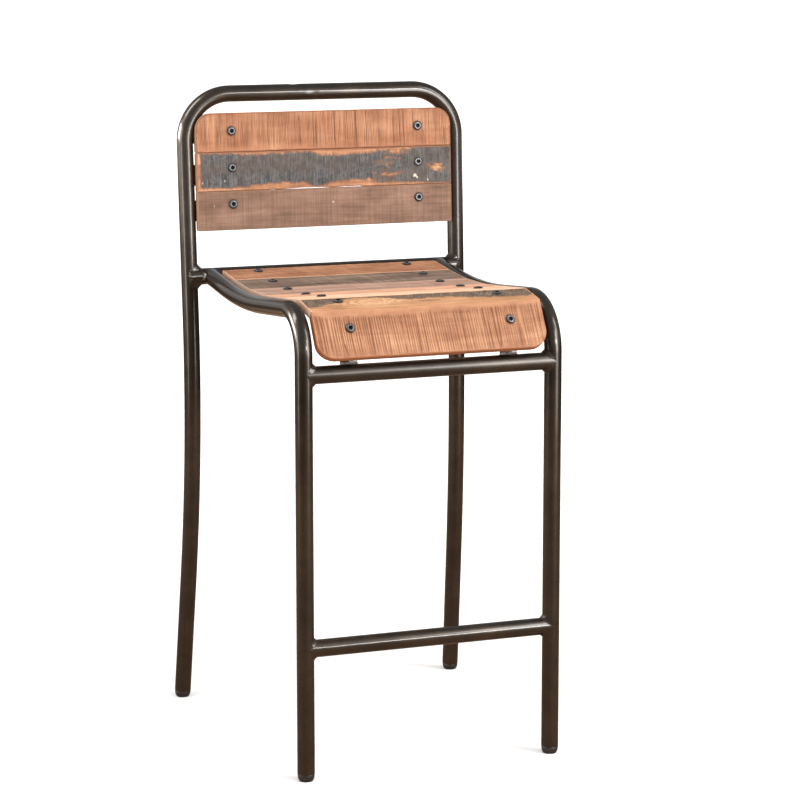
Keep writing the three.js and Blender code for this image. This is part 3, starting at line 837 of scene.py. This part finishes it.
def add_glide(corner, point, axis):
    """A moulded foot whose shoulder meets the end of the tube, level with the floor below."""
    stem = TUBE_R - TUBE_WALL - GAP
    top = GLIDE_H - GAP
    profile = [(0.0, -0.003), (0.0070, -0.003), (0.0086, -0.0015), (0.0098, 0.0006), (0.0108, 0.0024),
               (0.0116, 0.0042), (0.0121, 0.0062), (0.0123, 0.0080), (0.0123, top - 0.0006),
               (0.0119, top), (stem + 0.0004, top), (stem, top + 0.0004), (stem, GLIDE_H + 0.014),
               (stem - 0.001, GLIDE_H + 0.016), (0.0, GLIDE_H + 0.016)]
    vertices, faces = lathe(profile)
    turn = Z_AXIS.rotation_difference(axis).to_matrix()
    placed = [point + turn @ (Vector(v) - GLIDE_H * Z_AXIS) for v in vertices]
    placed = [(p.x, p.y, max(p.z, 0.0)) for p in placed]
    finish_piece(f"glide_{corner}", placed, faces, GLIDE, [f"foot_glide_{corner}"])


def lathe(profile, hexes=()):
    """Vertices and faces of a turned body. Rings whose index is in hexes are hexagons, and the first
    and last points of the profile lie on the axis."""
    sides = TURNED_SIDES
    vertices = [(0, 0, profile[0][1])]
    for index, (radius, height) in enumerate(profile[1:-1], 1):
        for k in range(sides):
            angle = 2 * math.pi * k / sides
            flat = radius / math.cos((angle % (math.pi / 3)) - math.pi / 6) if index in hexes else radius
            vertices.append((flat * math.cos(angle), flat * math.sin(angle), height))
    vertices.append((0, 0, profile[-1][1]))
    last = len(vertices) - 1
    start = last - sides
    faces = [(0, 1 + (k + 1) % sides, 1 + k) for k in range(sides)]
    faces += wall_faces(1, len(profile) - 2, sides)
    faces += [(last, start + k, start + (k + 1) % sides) for k in range(sides)]
    return vertices, outward(np.array(vertices), faces)


# ---- Planks ----

class Board:
    """Where a plank lies: the middle of the edge that v starts from, v's direction across the
    plank, its width and the mitres at both edges (shift of v per unit of depth)."""

    def __init__(self, origin, across, width, half_length, mitres=(0.0, 0.0)):
        self.origin = np.array(origin)
        self.across = np.array(across.normalized())
        self.outward = np.array([0.0, self.across[2], -self.across[1]])
        self.width = width
        self.half = half_length
        self.mitres = mitres

    def points(self, u, v, depth):
        """Points in space of board coordinates; depth is below the face."""
        share = v / self.width
        v = v + depth * (self.mitres[0] * (1 - share) - self.mitres[1] * share)
        along = np.stack([u, 0 * u, 0 * u], -1)
        return self.origin + along + v[..., None] * self.across - depth[..., None] * self.outward


def grid_lines(length, step, edge):
    """Values from 0 to length, step apart, and closer over the rounded edge at both ends."""
    fine = edge * np.array([0.0, 0.08, 0.2, 0.38, 0.62, 1.0])
    count = max(2, round((length - 2 * edge) / step))
    inner = np.linspace(edge, length - edge, count + 1)
    return np.concatenate([fine[:-1], inner, length - fine[:-1][::-1]])


def inside_distance(board, u, v, radii, roll=None):
    """Distance from a point of the plank's face to its outline, not counting a rolled end; radii
    round the corners at the start and end of v."""
    far = board.width
    from_start = v + (far if roll and not roll[2] else 0)
    from_end = board.width - v + (far if roll and roll[2] else 0)
    distance = np.minimum(board.half - np.abs(u), np.minimum(from_start, from_end))
    for radius, from_edge in ((radii[0], from_start), (radii[1], from_end)):
        beyond = np.abs(u) - (board.half - radius)
        corner = (beyond > 0) & (from_edge < radius)
        rounded = radius - np.hypot(beyond, radius - from_edge)
        distance = np.where(corner, np.minimum(rounded, distance), distance)
    return np.maximum(distance, 0)


def half_length_at(board, v, radii):
    """Half the plank's length at v, which its rounded corners shorten."""
    half = np.full_like(v, board.half)
    for radius, from_edge in ((radii[0], v), (radii[1], board.width - v)):
        short = np.clip(radius - from_edge, 0, radius)
        half = half - (radius - np.sqrt(radius ** 2 - short ** 2))
    return half


def plank_grid(board, step, radii):
    """The board coordinates of the grid on the plank's face."""
    v_lines = grid_lines(board.width, ROW_STEP, EDGE_BAND)
    s_lines = grid_lines(2 * board.half, step, EDGE_BAND) / board.half - 1
    v, s = np.meshgrid(v_lines, s_lines, indexing="ij")
    return s * half_length_at(board, v, radii), v


def worn_rim(inside, u, v, arris, seed):
    """How far the uneven round-over at the rim drops below the face."""
    size = arris * (0.65 + 0.9 * octaves(u / 0.012, v / 0.012, seed) ** 2)
    rim = np.clip(size - inside, 0, size)
    return size - np.sqrt(size ** 2 - rim ** 2)


def rolled_edge(board, v, radius, reach, at_end):
    """How far a broad round-over at one end of v drops below the face."""
    short = np.clip(reach - (board.width - v if at_end else v), 0, reach)
    return radius - np.sqrt(radius ** 2 - short ** 2)


def wall_rings(board, u, v, depth, radii):
    """Rings of board coordinates down the plank's walls, from its rim."""
    out_u = np.where(np.abs(u) > board.half - max(radii), np.sign(u), 0)
    out_v = np.where(v > board.width - radii[1], 1, 0) - np.where(v < radii[0], 1, 0)
    return [(u - shrink * out_u, v - shrink * out_v, np.maximum(depth + 0.0004, level))
            for level, shrink in WALL_LEVELS]


def grid_faces(index):
    """Quads over a grid of vertex numbers."""
    corners = [index[:-1, :-1], index[:-1, 1:], index[1:, 1:], index[1:, :-1]]
    return np.stack(corners, -1).reshape(-1, 4).tolist()


def add_plank(name, board, design, slot, step=FINE_STEP, radii=(ARRIS, ARRIS), arris=ARRIS, roll=None,
              screws=(), notch=None, relief=None):
    """A plank named after its node: sawn face as real relief, worn arrises, rounded lower edges.
    design(u, v) gives the layers that its look needs. roll = (radius, reach, at_end) is a broad
    round-over at one end of v; notch(u) is how far the far edge steps back; relief(vertices) moves
    the wood out of the way of the frame."""
    u, v = plank_grid(board, step, radii)
    inside = inside_distance(board, u, v, radii, roll)
    seed = sum(map(ord, name))
    layers = {"cut": 0, "rough": 1, "figure": 0, "paint": 0, "chip": 0, **design(u, v)}
    depth = worn_rim(inside, u, v, arris, seed) + layers.pop("depth") * ease(inside, 0, 0.003)
    if roll:
        depth = depth + rolled_edge(board, v, *roll)
    # A painted shadow ring on the wood round each screw head, darkened like the saw cuts.
    for at_u, at_v in screws:
        away = np.hypot(u - at_u, v - at_v)
        shade = 0.8 * (1 - ease(away, HEAD_R - 0.0002, HEAD_R + 0.0022))
        layers["cut"] = np.maximum(layers["cut"], shade)
    layers["edge"] = np.clip(1 - inside / 0.0040, 0, 1)

    face = np.arange(u.size).reshape(u.shape)
    rim = np.concatenate([face[0, :-1], face[:-1, -1], face[-1, :0:-1], face[:0:-1, 0]])
    board_rows = [(u.ravel(), v.ravel(), depth.ravel())]
    board_rows += wall_rings(board, u.ravel()[rim], v.ravel()[rim], depth.ravel()[rim], radii)
    rings = [rim] + [u.size + k * len(rim) + np.arange(len(rim)) for k in range(len(WALL_LEVELS))]
    faces = grid_faces(face)
    for a, b in zip(rings, rings[1:]):
        faces += np.stack([a, b, np.roll(b, -1), np.roll(a, -1)], 1).tolist()
    if relief:
        under = np.empty_like(face)
        under.ravel()[rim] = rings[-1]
        inner = face[1:-1, 1:-1]
        under[1:-1, 1:-1] = rings[-1][-1] + 1 + np.arange(inner.size).reshape(inner.shape)
        board_rows.append((u[1:-1, 1:-1].ravel(), v[1:-1, 1:-1].ravel(), np.full(inner.size, PLANK_T)))
        faces += grid_faces(under.T)
    else:
        faces.append(rings[-1].tolist())

    all_u, all_v, all_depth = map(np.concatenate, zip(*board_rows))
    if notch:
        all_v = all_v * (1 - notch(all_u) / board.width)
    vertices = board.points(all_u, all_v, all_depth)
    if relief:
        vertices = relief(vertices)
    out = {"board": np.stack([all_u + seed % 17, all_v, all_depth], 1)}
    for layer, values in layers.items():
        out[layer] = np.zeros(len(all_u))
        out[layer][:u.size] = np.broadcast_to(values, u.shape).ravel()
        if layer != "edge":
            out[layer][rings[1]] = out[layer][rim]
    out["side"] = np.where(np.arange(len(all_u)) < u.size, 0.0, 1.0)
    out["side"][rim] = 0.5
    finish_piece(f"{name}_sawn", vertices, faces, WOOD[slot], [name], out, crease=55)


def cuts(u, v, pitch, slope, seed, wide=0.00035, keep=(0.35, 0.75)):
    """Thin wavering saw cuts across the plank, 0 to 1, about pitch apart and uneven in strength."""
    drift = 0.35 * octaves(u / 0.04, v / 0.25, seed)
    field = lattice((u + slope * v) / pitch + drift, 7.3 + v / 0.7, seed + 11)
    beside = lattice((u + slope * v) / pitch + drift + 0.05, 7.3 + v / 0.7, seed + 11)
    rise = np.abs(beside - field) / (0.05 * pitch)
    distance = np.abs(field - 0.5) / np.maximum(rise, 0.05 / pitch)
    strength = ease(octaves(u / 0.009, v / 0.05, seed + 23), *keep)
    return (1 - ease(distance, 0.4 * wide, 2.2 * wide)) * strength


def corduroy(u, v, pitch, slope, seed, keep=(0.25, 0.75)):
    """Close, nearly even saw marks across the plank, 0 to 1."""
    phase = (u + slope * v) / pitch + 3.0 * octaves(u / 0.024, v / 0.5, seed)
    line = (0.5 + 0.5 * np.cos(2 * np.pi * phase)) ** 3
    return line * ease(octaves(u / 0.0045, v / 0.05, seed + 3), *keep)


def spot(u, v, half, at, y, wide, tall):
    """1 at a place on the plank, 0 at the rim of the ellipse round it, negative beyond."""
    away = ((u + half) - 2 * half * at) / wide
    return 1 - away ** 2 - ((v - y) / tall) ** 2


def piecewise(u, half, marks):
    """Straight lines through marks of (share of the length from the left, value)."""
    shares, values = zip(*marks)
    return np.interp((u + half) / (2 * half), shares, values)


def fine_saw(pitch, slope, depth, seed, dark=0.35, reach=(0.3, 0.8)):
    """A face with shallow saw lines and a little unevenness; dark sets how far painted shade darkens the
    lines.
    """
    def design(u, v):
        line = corduroy(u, v, pitch, slope, seed, reach)
        swell = octaves(u / 0.05, v / 0.03, seed + 5)
        return {"cut": dark * line, "depth": depth * line + 0.0004 * swell}
    return design


def design_back_upper(u, v):
    """Strong, nearly upright saw cuts, and a plainer strip along the lower edge."""
    half = BACK_HALF_W
    lower = ease(v + 0.006 * octaves(u / 0.008, 0 * v, 77), 0.047, 0.061) \
        * piecewise(u, half, [(0, .9), (.4, 1), (.6, .5), (1, .3)])
    fine = corduroy(u, v, 0.0023, -0.03, 31, (0.2, 0.7))
    strong = cuts(u, v, 0.0085, -0.03, 57, 0.00042, (0.28, 0.60))
    main = 0 * u
    for at, strength, lean in ((.535, 1.0, -.02), (.66, .8, -.03), (.30, .6, .02), (.77, .55, 0),
                               (.452, .7, -.01), (.585, .6, -.03), (.14, .5, -.02)):
        wander = 0.0016 * (octaves(v / 0.02, 0 * u + at * 9, 5) - 0.5)
        distance = np.abs((u + half) - 2 * half * at + lean * v + wander)
        main = np.maximum(main, strength * (1 - ease(distance, 0.0003, 0.0012)))
    fine = fine * piecewise(u, half, [(0, 1.0), (.3, .95), (.5, .72), (1, .75)])
    line = np.maximum(np.maximum(fine, 0.9 * strong), main) * (1 - 0.8 * lower)
    return {"cut": 0.9 * line, "rough": 1 - 0.7 * lower,
            "depth": 0.0007 * line + 0.0003 * octaves(u / 0.06, v / 0.04, 3)}


def design_back_middle(u, v):
    """A grey skin with ragged edges, worn orange in patches, and a few pale chips."""
    half, width = BACK_HALF_W, BACK_PLANK_H
    comb = 0.0046 * (octaves(u / 0.0030, v / 0.05, 91) - 0.5)
    top = piecewise(u, half, [(0, .001), (.08, .0015), (.2, .005), (.37, .0045), (.44, .0025), (.47, .009),
                              (.56, .01), (.66, .008), (.7, .006), (.82, .0055), (.86, 0), (1, 0)])
    bottom = piecewise(u, half, [(0, .0062), (.19, .0058), (.22, .0085), (.33, .011), (.42, .008),
                                 (.455, .0015), (.49, .003), (.52, .009), (.6, .0115), (.67, .0095),
                                 (.7, .006), (.86, .0045), (.9, .002), (1, .0012)])
    near = np.minimum(v - top - comb, width - v - bottom + 0.7 * comb)
    near = np.minimum(near, 1.6 * (u + half - 0.0060))
    skin = np.clip(0.5 + near / 0.0095, -0.5, 1.15)
    worn = 1.6 * (octaves(u / 0.0055, v / 0.0022, 33) - 0.5)
    for at, y, wide, tall, loss in ((.735, .022, .026, .007, .56), (.765, .037, .038, .007, .50),
                                    (.735, .046, .034, .006, .44), (.957, .036, .014, .0085, .62),
                                    (.915, .030, .020, .008, .56), (.80, .012, .036, .006, .46),
                                    (.60, .030, .05, .010, .20), (.30, .030, .05, .010, .15)):
        skin = skin - loss * ease(spot(u, v, half, at, y, wide, tall) + worn, -0.8, 0.9)
    chip = 0 * u
    for at, y, wide, tall in ((.853, .0455, .0042, .0022), (.862, .048, .002, .002),
                              (.905, .0535, .0016, .0012), (.020, .047, .0012, .0012),
                              (.105, .044, .0009, .0012)):
        blob = spot(u, v, half, at, y, wide, tall) + 1.5 * (octaves(u / .0016, v / .0013, 8) - 0.5)
        chip = np.maximum(chip, ease(blob, 0.1, 0.5))
    line = cuts(u, v, 0.0055, -0.02, 41)
    under = ease(skin, 0.3, 0.9)
    depth = 0.0003 * line + 0.0005 * (1 - under) + 0.0004 * octaves(u / 0.02, v / 0.012, 6)
    return {"cut": 0.45 * line, "paint": skin, "chip": chip, "rough": 0.3 + 0.5 * under, "depth": depth}


def design_back_lower(u, v):
    """Faint close saw marks over an arched grain, and a few small chips."""
    line = corduroy(u, v, 0.0017, 0.0, 71)
    strong = cuts(u, v, 0.010, 0.0, 75, 0.0003, (0.42, 0.72))
    bow = v + 0.05 * (u - 0.06) ** 2 + 0.003 * octaves(u / 0.04, v / 0.03, 61)
    grain = 1 - ease(np.abs(lattice(0 * u + 4.4, bow / 0.0042, 29) - 0.5), 0.01, 0.07)
    figure = grain * piecewise(u, BACK_HALF_W, [(0, .05), (.45, .1), (.6, .22), (1, .22)])
    chip = 0 * u
    for at, y, wide, tall in ((.025, .023, .0018, .0006), (.062, .0215, .0012, .0008),
                              (.085, .021, .0012, .0006), (.055, .03, .001, .0008),
                              (.525, .0225, .0018, .001)):
        chip = np.maximum(chip, 0.7 * ease(spot(u, v, BACK_HALF_W, at, y, wide, tall), 0, 0.5))
    return {"cut": np.maximum(0.34 * line, 0.5 * strong), "figure": figure, "chip": chip,
            "depth": 0.0003 * line + 0.0002 * grain}


def design_front(u, v):
    """Deep saw cuts that start below a smooth, ragged strip along the top edge."""
    start = piecewise(u, SEAT_HALF_W, [(0, .0060), (.06, .0098), (.2, .0102), (.35, .0108), (.46, .0098),
                                       (.50, .0082), (.7, .0076), (.85, .0060), (1, .0036)])
    start = start + 0.0050 * (octaves(u / 0.0026, 0 * v, 19) - 0.4)
    sawn = ease(v - start, -0.0004, 0.0018)
    fine = corduroy(u, v, 0.0038, -0.02, 13, (0.08, 0.52))
    strong = cuts(u, v, 0.0078, 0.0, 37, 0.00062, (0.26, 0.58))
    fine = fine * piecewise(u, SEAT_HALF_W, [(0, 1.0), (.4, .9), (.6, .8), (1, .8)])
    line = np.maximum(fine, strong) * sawn * (1 - 0.2 * ease(v, 0.066, 0.071))
    return {"cut": 0.85 * line, "rough": sawn, "depth": 0.0009 * line + 0.0003 * sawn}


def design_seat_6(u, v):
    """Bare wood with a knot, behind it a dark skin with a ragged edge and slanting cuts."""
    half, width = SEAT_HALF_W, 0.0515
    share = piecewise(u, half, [(0, .70), (.05, .66), (.10, .50), (.16, .33), (.20, .16), (.24, .10),
                                (.34, .16), (.40, .36), (.47, .44), (.56, .42), (.64, .36), (.70, .50),
                                (.84, .60), (1, .62)])
    band = share * width + 0.009 * (octaves(u / 0.007, v / 0.006, 47) - 0.5) - v
    dark = piecewise(u, half, [(0, 1), (.13, 1), (.22, .55), (.4, .45), (.7, .5), (.8, .75), (1, .8)])
    skin = np.clip(0.5 + band / 0.006, 0, 1) * (0.35 + 0.75 * dark)
    knot = np.hypot((u + half - 2 * half * .29) / 0.034, (v - 0.024) / 0.011)
    knot = knot + 0.9 * octaves(u / 0.024, v / 0.009, 83) - 0.3
    rings = (0.5 * np.cos(2 * np.pi * 3.1 * knot) - 0.35) * (1 - ease(knot, 0.9, 1.9))
    worn = 1.4 * (octaves(u / .003, v / .0012, 15) - 0.5)
    scratch = ease(spot(u, v, half, .535, .031, .020, .0035) + worn, 0, .6)
    smooth = ease(v, 0.036, 0.040)
    line = cuts(u, v, 0.0050, -0.5, 59, 0.0004, (0.2, 0.6)) * ease(band, -0.001, 0.002)
    return {"cut": np.maximum(0.75 * line, 0.55 * scratch), "paint": skin, "figure": 1.3 * rings,
            "rough": (1 - smooth) * (0.4 + 0.6 * ease(band, -0.002, 0.002)),
            "depth": 0.0005 * line + 0.0003 * (1 - smooth)}


def seat_lines(rail):
    """The seat's top line and underside from back to front, as (y, z) points."""
    first = next(i for i, (_, t) in enumerate(rail) if t.y > 0.5)
    ys = [p.y for p, _ in rail[first:]]
    zs = [p.z for p, _ in rail[first:]]
    top = [Vector((LEG_Y + back, float(np.interp(LEG_Y + back, ys, zs)) + TUBE_R)) for back in SEAMS]
    top += [Vector((LEG_Y + back, z)) for back, z in (FRONT_EDGE, FRONT_PLANK_FOOT)]
    return top, offset_line(top, PLANK_T)


def offset_line(points, distance):
    """The polyline moved to the left of its direction, with mitred corners."""
    moved = []
    for i, point in enumerate(points):
        ways = [(b - a).normalized() for a, b in zip(points[max(i - 1, 0):], points[max(i, 1):i + 2])]
        normals = [Vector((-w.y, w.x)) for w in ways]
        mid = sum(normals, Vector((0, 0))).normalized()
        moved.append(point + mid * distance / mid.dot(normals[0]))
    return moved


def add_seat(rail):
    """Six planks across the rails and the front plank below them; returns the seat's top line."""
    top, under = seat_lines(rail)
    edge = len(top) - 2
    turn = (top[edge] - top[edge - 1]).angle(top[edge + 1] - top[edge])
    reach = FRONT_EDGE_R * math.tan(turn / 2)
    designs = [fine_saw(0.0024, 0.5, 0.0003, 101, 0.4), fine_saw(0.0030, 0.2, 0.0002, 111, 0.4),
               fine_saw(0.0031, -0.1, 0.0002, 121, 0.15), fine_saw(0.0029, 0.1, 0.0001, 131, 0.1),
               fine_saw(0.0027, 0.0, 0.0001, 141, 0.08), design_seat_6, design_front]
    for i, design in enumerate(designs):
        ahead = (top[i + 1] - top[i]).normalized()
        mitres = [way * (under[k] - top[k]).dot(ahead) / PLANK_T for k, way in ((i, 1), (i + 1, -1))]
        is_front = i == edge
        near = SEAM if i == 0 else MITRE_SEAM if is_front else SEAT_SEAM
        far = 0 if is_front else MITRE_SEAM if i + 1 == edge else SEAT_SEAM
        width = (top[i + 1] - top[i]).length - near / 2 - far / 2
        start = top[i] + ahead * near / 2
        board = Board(Vector((0, *start)), Vector((0, *ahead)), width, SEAT_HALF_W, mitres)
        roll = (FRONT_EDGE_R, reach, i + 1 == edge) if edge in (i, i + 1) else None
        step = FINE_STEP if i >= edge - 1 else COARSE_STEP
        if is_front:
            screws = [(side * STRAP_X, FRONT_SCREW_DOWN) for _, side in SIDES]
            add_plank("front_plank", board, design, "front_wood", step, (ARRIS, FRONT_PLANK_CORNER_R),
                      FRONT_ARRIS, roll, screws)
        else:
            along = (SEAT_SCREWS[i] + LEG_Y - start.x) / ahead.x
            screws = [(side * STRAP_X, along) for _, side in SIDES]
            add_plank(f"seat_plank_{i + 1}", board, design, f"seat_wood_{i + 1}", step,
                      arris=SEAT_ARRIS, roll=roll, screws=screws)
    return top


def back_axes():
    """The middle of the backrest's lower edge, the way up the uprights and the way forward."""
    lean = math.atan(UPRIGHT_LEAN)
    up = Vector((0, math.sin(lean), math.cos(lean)))
    ahead = Vector((0, -math.cos(lean), math.sin(lean)))
    return in_side_plane(0, upright_back(BACK_BOTTOM_Z), BACK_BOTTOM_Z), up, ahead


def clear_of_arch(vertices):
    """Wood behind the face of the top plank gives way to the bends of the arch."""
    base, up, ahead = map(np.array, back_axes())
    arch = np.array([p for p, _ in back_path() if p.z > BACK_BOTTOM_Z])
    offset = vertices - base
    near = np.full(len(vertices), 1.0)
    for x, height in zip(arch[:, 0], (arch - base) @ up):
        near = np.minimum(near, np.hypot(vertices[:, 0] - x, offset @ up - height))
    needed = np.sqrt(np.maximum((TUBE_R + GAP) ** 2 - near ** 2, 0))
    push = np.where(near < TUBE_R + GAP, np.maximum(needed - offset @ ahead, 0), 0)
    return vertices + push[:, None] * ahead


def open_seam(u):
    """How far the middle plank's lower edge is worn back."""
    wear = octaves(u / 0.006, 0 * u, 44)
    return (0.6 + 0.8 * wear) * piecewise(u, BACK_HALF_W, [
        (0, 0), (.27, 0), (.29, .0007), (.31, 0), (.35, .0005), (.40, .0013), (.49, .0009), (.52, .0001),
        (.56, .0006), (.63, .0012), (.65, 0), (1, 0)])


def add_backrest():
    """Three planks before the uprights, with a flat bar behind each."""
    base, up, ahead = back_axes()
    face = BACK_BAR_FORWARD + BAR_T / 2 + GAP + PLANK_T
    rows = [("lower", design_back_lower, (ARRIS, BACK_FOOT_R), None, None),
            ("middle", design_back_middle, (ARRIS, ARRIS), open_seam, None),
            ("upper", design_back_upper, (BACK_CORNER_R, ARRIS), None, clear_of_arch)]
    for i, (row, design, radii, notch, relief) in enumerate(rows):
        low = i * BACK_PLANK_H + (BACK_SEAM / 2 if i else 0)
        high = (i + 1) * BACK_PLANK_H - (0 if row == "upper" else BACK_SEAM / 2)
        board = Board(base + up * high + ahead * face, -up, high - low, BACK_HALF_W)
        down = high - (BACK_SCREW_Z[i] - BACK_BOTTOM_Z) / up.z
        screws = [(side * BACK_SCREW_X, down) for _, side in SIDES]
        add_plank(f"back_plank_{row}", board, design, f"back_wood_{row}", FINE_STEP, radii,
                  screws=screws, notch=notch, relief=relief)
        add_back_bar(row, BACK_BAR_Z[i])


def add_back_bar(row, z):
    """A flat bar between the uprights behind the planks, with a short weld at each end."""
    base, up, ahead = map(np.array, back_axes())
    centre = base + up * (z - BACK_BOTTOM_Z) / up[2] + ahead * BACK_BAR_FORWARD
    outline = rounded_bar(BACK_BAR_H, BAR_T)
    section = up * outline[:, :1] + ahead * outline[:, 1:]
    rings = np.array([centre + section + np.array([x, 0, 0]) for x in np.linspace(-0.19, 0.19, 12)])
    for name, side in SIDES:
        mate = upright(side)
        outside = np.array([side, 0, 0])
        end = onto_tube(rings[0 if side < 0 else -1], outside, mate, TUBE_R + GAP)[None]
        rings = np.concatenate([end, rings] if side < 0 else [rings, end])
        edge = centre + np.linspace(-0.42, 0.42, BAR_WELD_STEPS)[:, None] * BACK_BAR_H * up
        seam = onto_tube(edge - ahead * (BAR_T / 2 - SUNK), outside, mate, TUBE_R)
        add_weld(f"back_bar_{row}_weld_{name}", seam, BACK_BAR_WELD, -outside, -ahead, mate)
    add_bar(f"back_flat_bar_{row}", rings, f"back_bar_{row}")


def add_straps(top):
    """Flat bars under the seat, from the rear crossbar down to the front one."""
    rests = ((REAR_CROSS_BACK, REAR_CROSS_Z), (DISH_BACK, DISH_Z))
    line = [Vector((LEG_Y + back, z + TUBE_R)) for back, z in rests] + top[-3:]
    line = offset_line(line, PLANK_T + GAP + BAR_T / 2)
    fall = top[-1] - top[-2]
    foot_y = LEG_Y + STRAP_FOOT_BACK
    foot = line[3] + fall * ((foot_y - line[3].x) / fall.x)
    corners = list(zip((*line[1:4], foot), STRAP_BENDS))
    across = np.linspace(-0.5, 0.5, BAR_WELD_STEPS)[:, None] * [STRAP_W, 0, 0]
    mate = (in_side_plane(0, 0, FRONT_CROSS_Z), X_AXIS)
    for name, side in SIDES:
        x = side * STRAP_X
        end = Vector((x, foot_y, FRONT_CROSS_Z + TUBE_R - 0.0005))
        path = bent_path(Vector((x, *line[0])), [(Vector((x, *p)), r) for p, r in corners], end, 0.01)
        path = [s for s in path if s[0].y < LEG_Y + REAR_CROSS_BACK - TUBE_R + 0.004]

        def bare(vertices):
            """Bare steel at the foot, less so along its left edge."""
            height = vertices[:, 2] - (FRONT_CROSS_Z + TUBE_R)
            share = (vertices[:, 0] - x) / STRAP_W
            return 0.9 * ease(0.022 - height, 0.0, 0.008) * ease(share + 0.45, 0.0, 0.3)
        rings = sweep_rings(path, rounded_bar(STRAP_W, BAR_T))
        add_bar(f"seat_bar_{name}", rings, f"seat_strap_{name}", bare)
        for face, way in (("front", -1), ("rear", 1)):
            y = foot_y + way * (BAR_T / 2 - SUNK)
            rise = math.sqrt(TUBE_R ** 2 - (y - LEG_Y) ** 2)
            seam = np.array([x, y, FRONT_CROSS_Z + rise]) + across
            add_weld(f"seat_bar_{name}_weld_{face}", seam, STRAP_WELD, np.array([0, 0, 1]),
                     np.array([0, way, 0]), mate, slot="bar_steel")


# ---- Screws ----

def screw_mesh():
    """A low button head with a hexagon socket and a plain shank, along +Z, seated at z = 0."""
    deep = HEAD_H - 0.0019
    socket = [(0, deep - 0.0003), (0.0012, deep), (SOCKET_R, deep + 0.0001), (SOCKET_R, HEAD_H - 0.0002)]
    dome = [(SOCKET_R + 0.0003, 1), (0.0046, 1), (0.0050, 0.97), (0.0054, 0.88), (0.0062, 0.62),
            (0.0066, 0.44), (HEAD_R, 0.30)]
    stem = [(HEAD_R, 0.0003), (HEAD_R - 0.0003, 0), (SHANK_R, 0), (SHANK_R, -SHANK_L + 0.0006),
            (SHANK_R - 0.0006, -SHANK_L), (0, -SHANK_L)]
    profile = socket + [(radius, share * HEAD_H) for radius, share in dome] + stem
    vertices, faces = lathe(profile, hexes=(1, 2, 3, 4))
    mesh = new_mesh("button_screw", vertices, faces, SCREW)
    mesh.shade_smooth()
    mesh.set_sharp_from_angle(angle=math.radians(35))
    points = np.array(vertices)
    radius = np.hypot(points[:, 0], points[:, 1])
    in_socket = (radius < SOCKET_R + 0.0004) & (points[:, 2] > 0)
    # Marks the socket and the foot of the dome for painted shade.
    grime = np.maximum(in_socket, ease(radius, 0.0050, 0.0066) * 0.65)
    mesh.attributes.new("grime", "FLOAT", "POINT").data.foreach_set("value", grime.astype(np.float32))
    return mesh


def add_screws():
    """A screw where each CAD screw is, along that screw's longest axis."""
    mesh = screw_mesh()
    for name, node in sorted(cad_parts.items()):
        if not name.startswith("screw_"):
            continue
        points = np.array([v.co for v in node.data.vertices])
        centre = points.mean(0)
        axis = Vector(np.linalg.eigh(np.cov((points - centre).T))[1][:, 2])
        if axis.dot(Vector((0, -0.5, 1))) < 0:
            axis = -axis
        top = ((points - centre) @ np.array(axis)).max()
        seat = Vector(centre) + axis * (top - HEAD_H)
        spin = Matrix.Rotation(random.uniform(0, math.tau), 4, "Z")
        turn = Z_AXIS.rotation_difference(axis).to_matrix().to_4x4()
        screw = new_object(f"{name}_head", mesh)
        screw.matrix_world = Matrix.Translation(seat) @ turn @ spin
        declare(screw, [name])


# ---- The stool ----

add_camera()
add_lights()
add_floor()

LACQUER = lacquer_look()
BAR = bar_look()
SCREW = screw_look()
GLIDE = glide_look()
# The seat planks' end colours are set light: painted light on their left ends, which face away from the
# key light.
WOODS = {
    "seat_wood_1": dict(
        tones=[(124, 76, 48), (158, 107, 74), (188, 136, 99)], hatch=0.4, slant=0.5,
        end=(240, 194, 160), arris=(204, 150, 114)),
    "seat_wood_2": dict(
        tones=[(74, 59, 48), (118, 96, 80), (152, 128, 108)], hatch=0.5, slant=0.2,
        end=(236, 196, 168), arris=(168, 134, 110)),
    "seat_wood_3": dict(
        tones=[(134, 99, 80), (166, 132, 113), (196, 158, 135)], hatch=0.25,
        end=(240, 196, 164), arris=(206, 160, 132)),
    "seat_wood_4": dict(
        tones=[(178, 122, 93), (208, 155, 122), (228, 179, 146)], hatch=0.15,
        end=(242, 198, 166), arris=(222, 172, 136)),
    "seat_wood_5": dict(
        tones=[(198, 147, 116), (232, 186, 154), (250, 214, 184)], hatch=0.12,
        end=(242, 198, 166), arris=(222, 172, 136)),
    "seat_wood_6": dict(
        tones=[(138, 98, 62), (180, 130, 92), (204, 160, 120)], hatch=0.15, slant=-0.5, cut=(70, 54, 42),
        end=(240, 194, 160), arris=(214, 158, 118), paint=((134, 100, 72), (72, 61, 51), (170, 147, 122))),
    "front_wood": dict(
        tones=[(136, 87, 60), (176, 124, 90), (204, 152, 115)], grain=(0.15, 0.4, 0.5), hatch=0.28,
        slant=-0.02, cut=(104, 52, 26), arris=(158, 98, 64), arris_share=0.42, end=(158, 90, 48)),
    "back_wood_lower": dict(
        tones=[(106, 78, 62), (146, 111, 91), (172, 137, 115)], grain=(0.20, 0.45, 0.4), hatch=0.22,
        cut=(86, 62, 50), arris=(140, 104, 80)),
    "back_wood_middle": dict(
        tones=[(146, 96, 64), (190, 134, 96), (222, 170, 130)], hatch=0.3, cut=(70, 54, 44),
        arris=(150, 100, 72), paint=((134, 92, 66), (66, 67, 68), (146, 140, 136))),
    "back_wood_upper": dict(
        tones=[(150, 95, 64), (186, 127, 91), (212, 157, 119)], grain=(0.05, 0.25, 0.5), hatch=0.38,
        cut=(84, 50, 34), arris=(140, 90, 62)),
}
WOOD = {name: wood_look(name, **looks) for name, looks in WOODS.items()}

left_rail = add_frame()
seat_top = add_seat(left_rail)
add_straps(seat_top)
add_backrest()
add_screws()
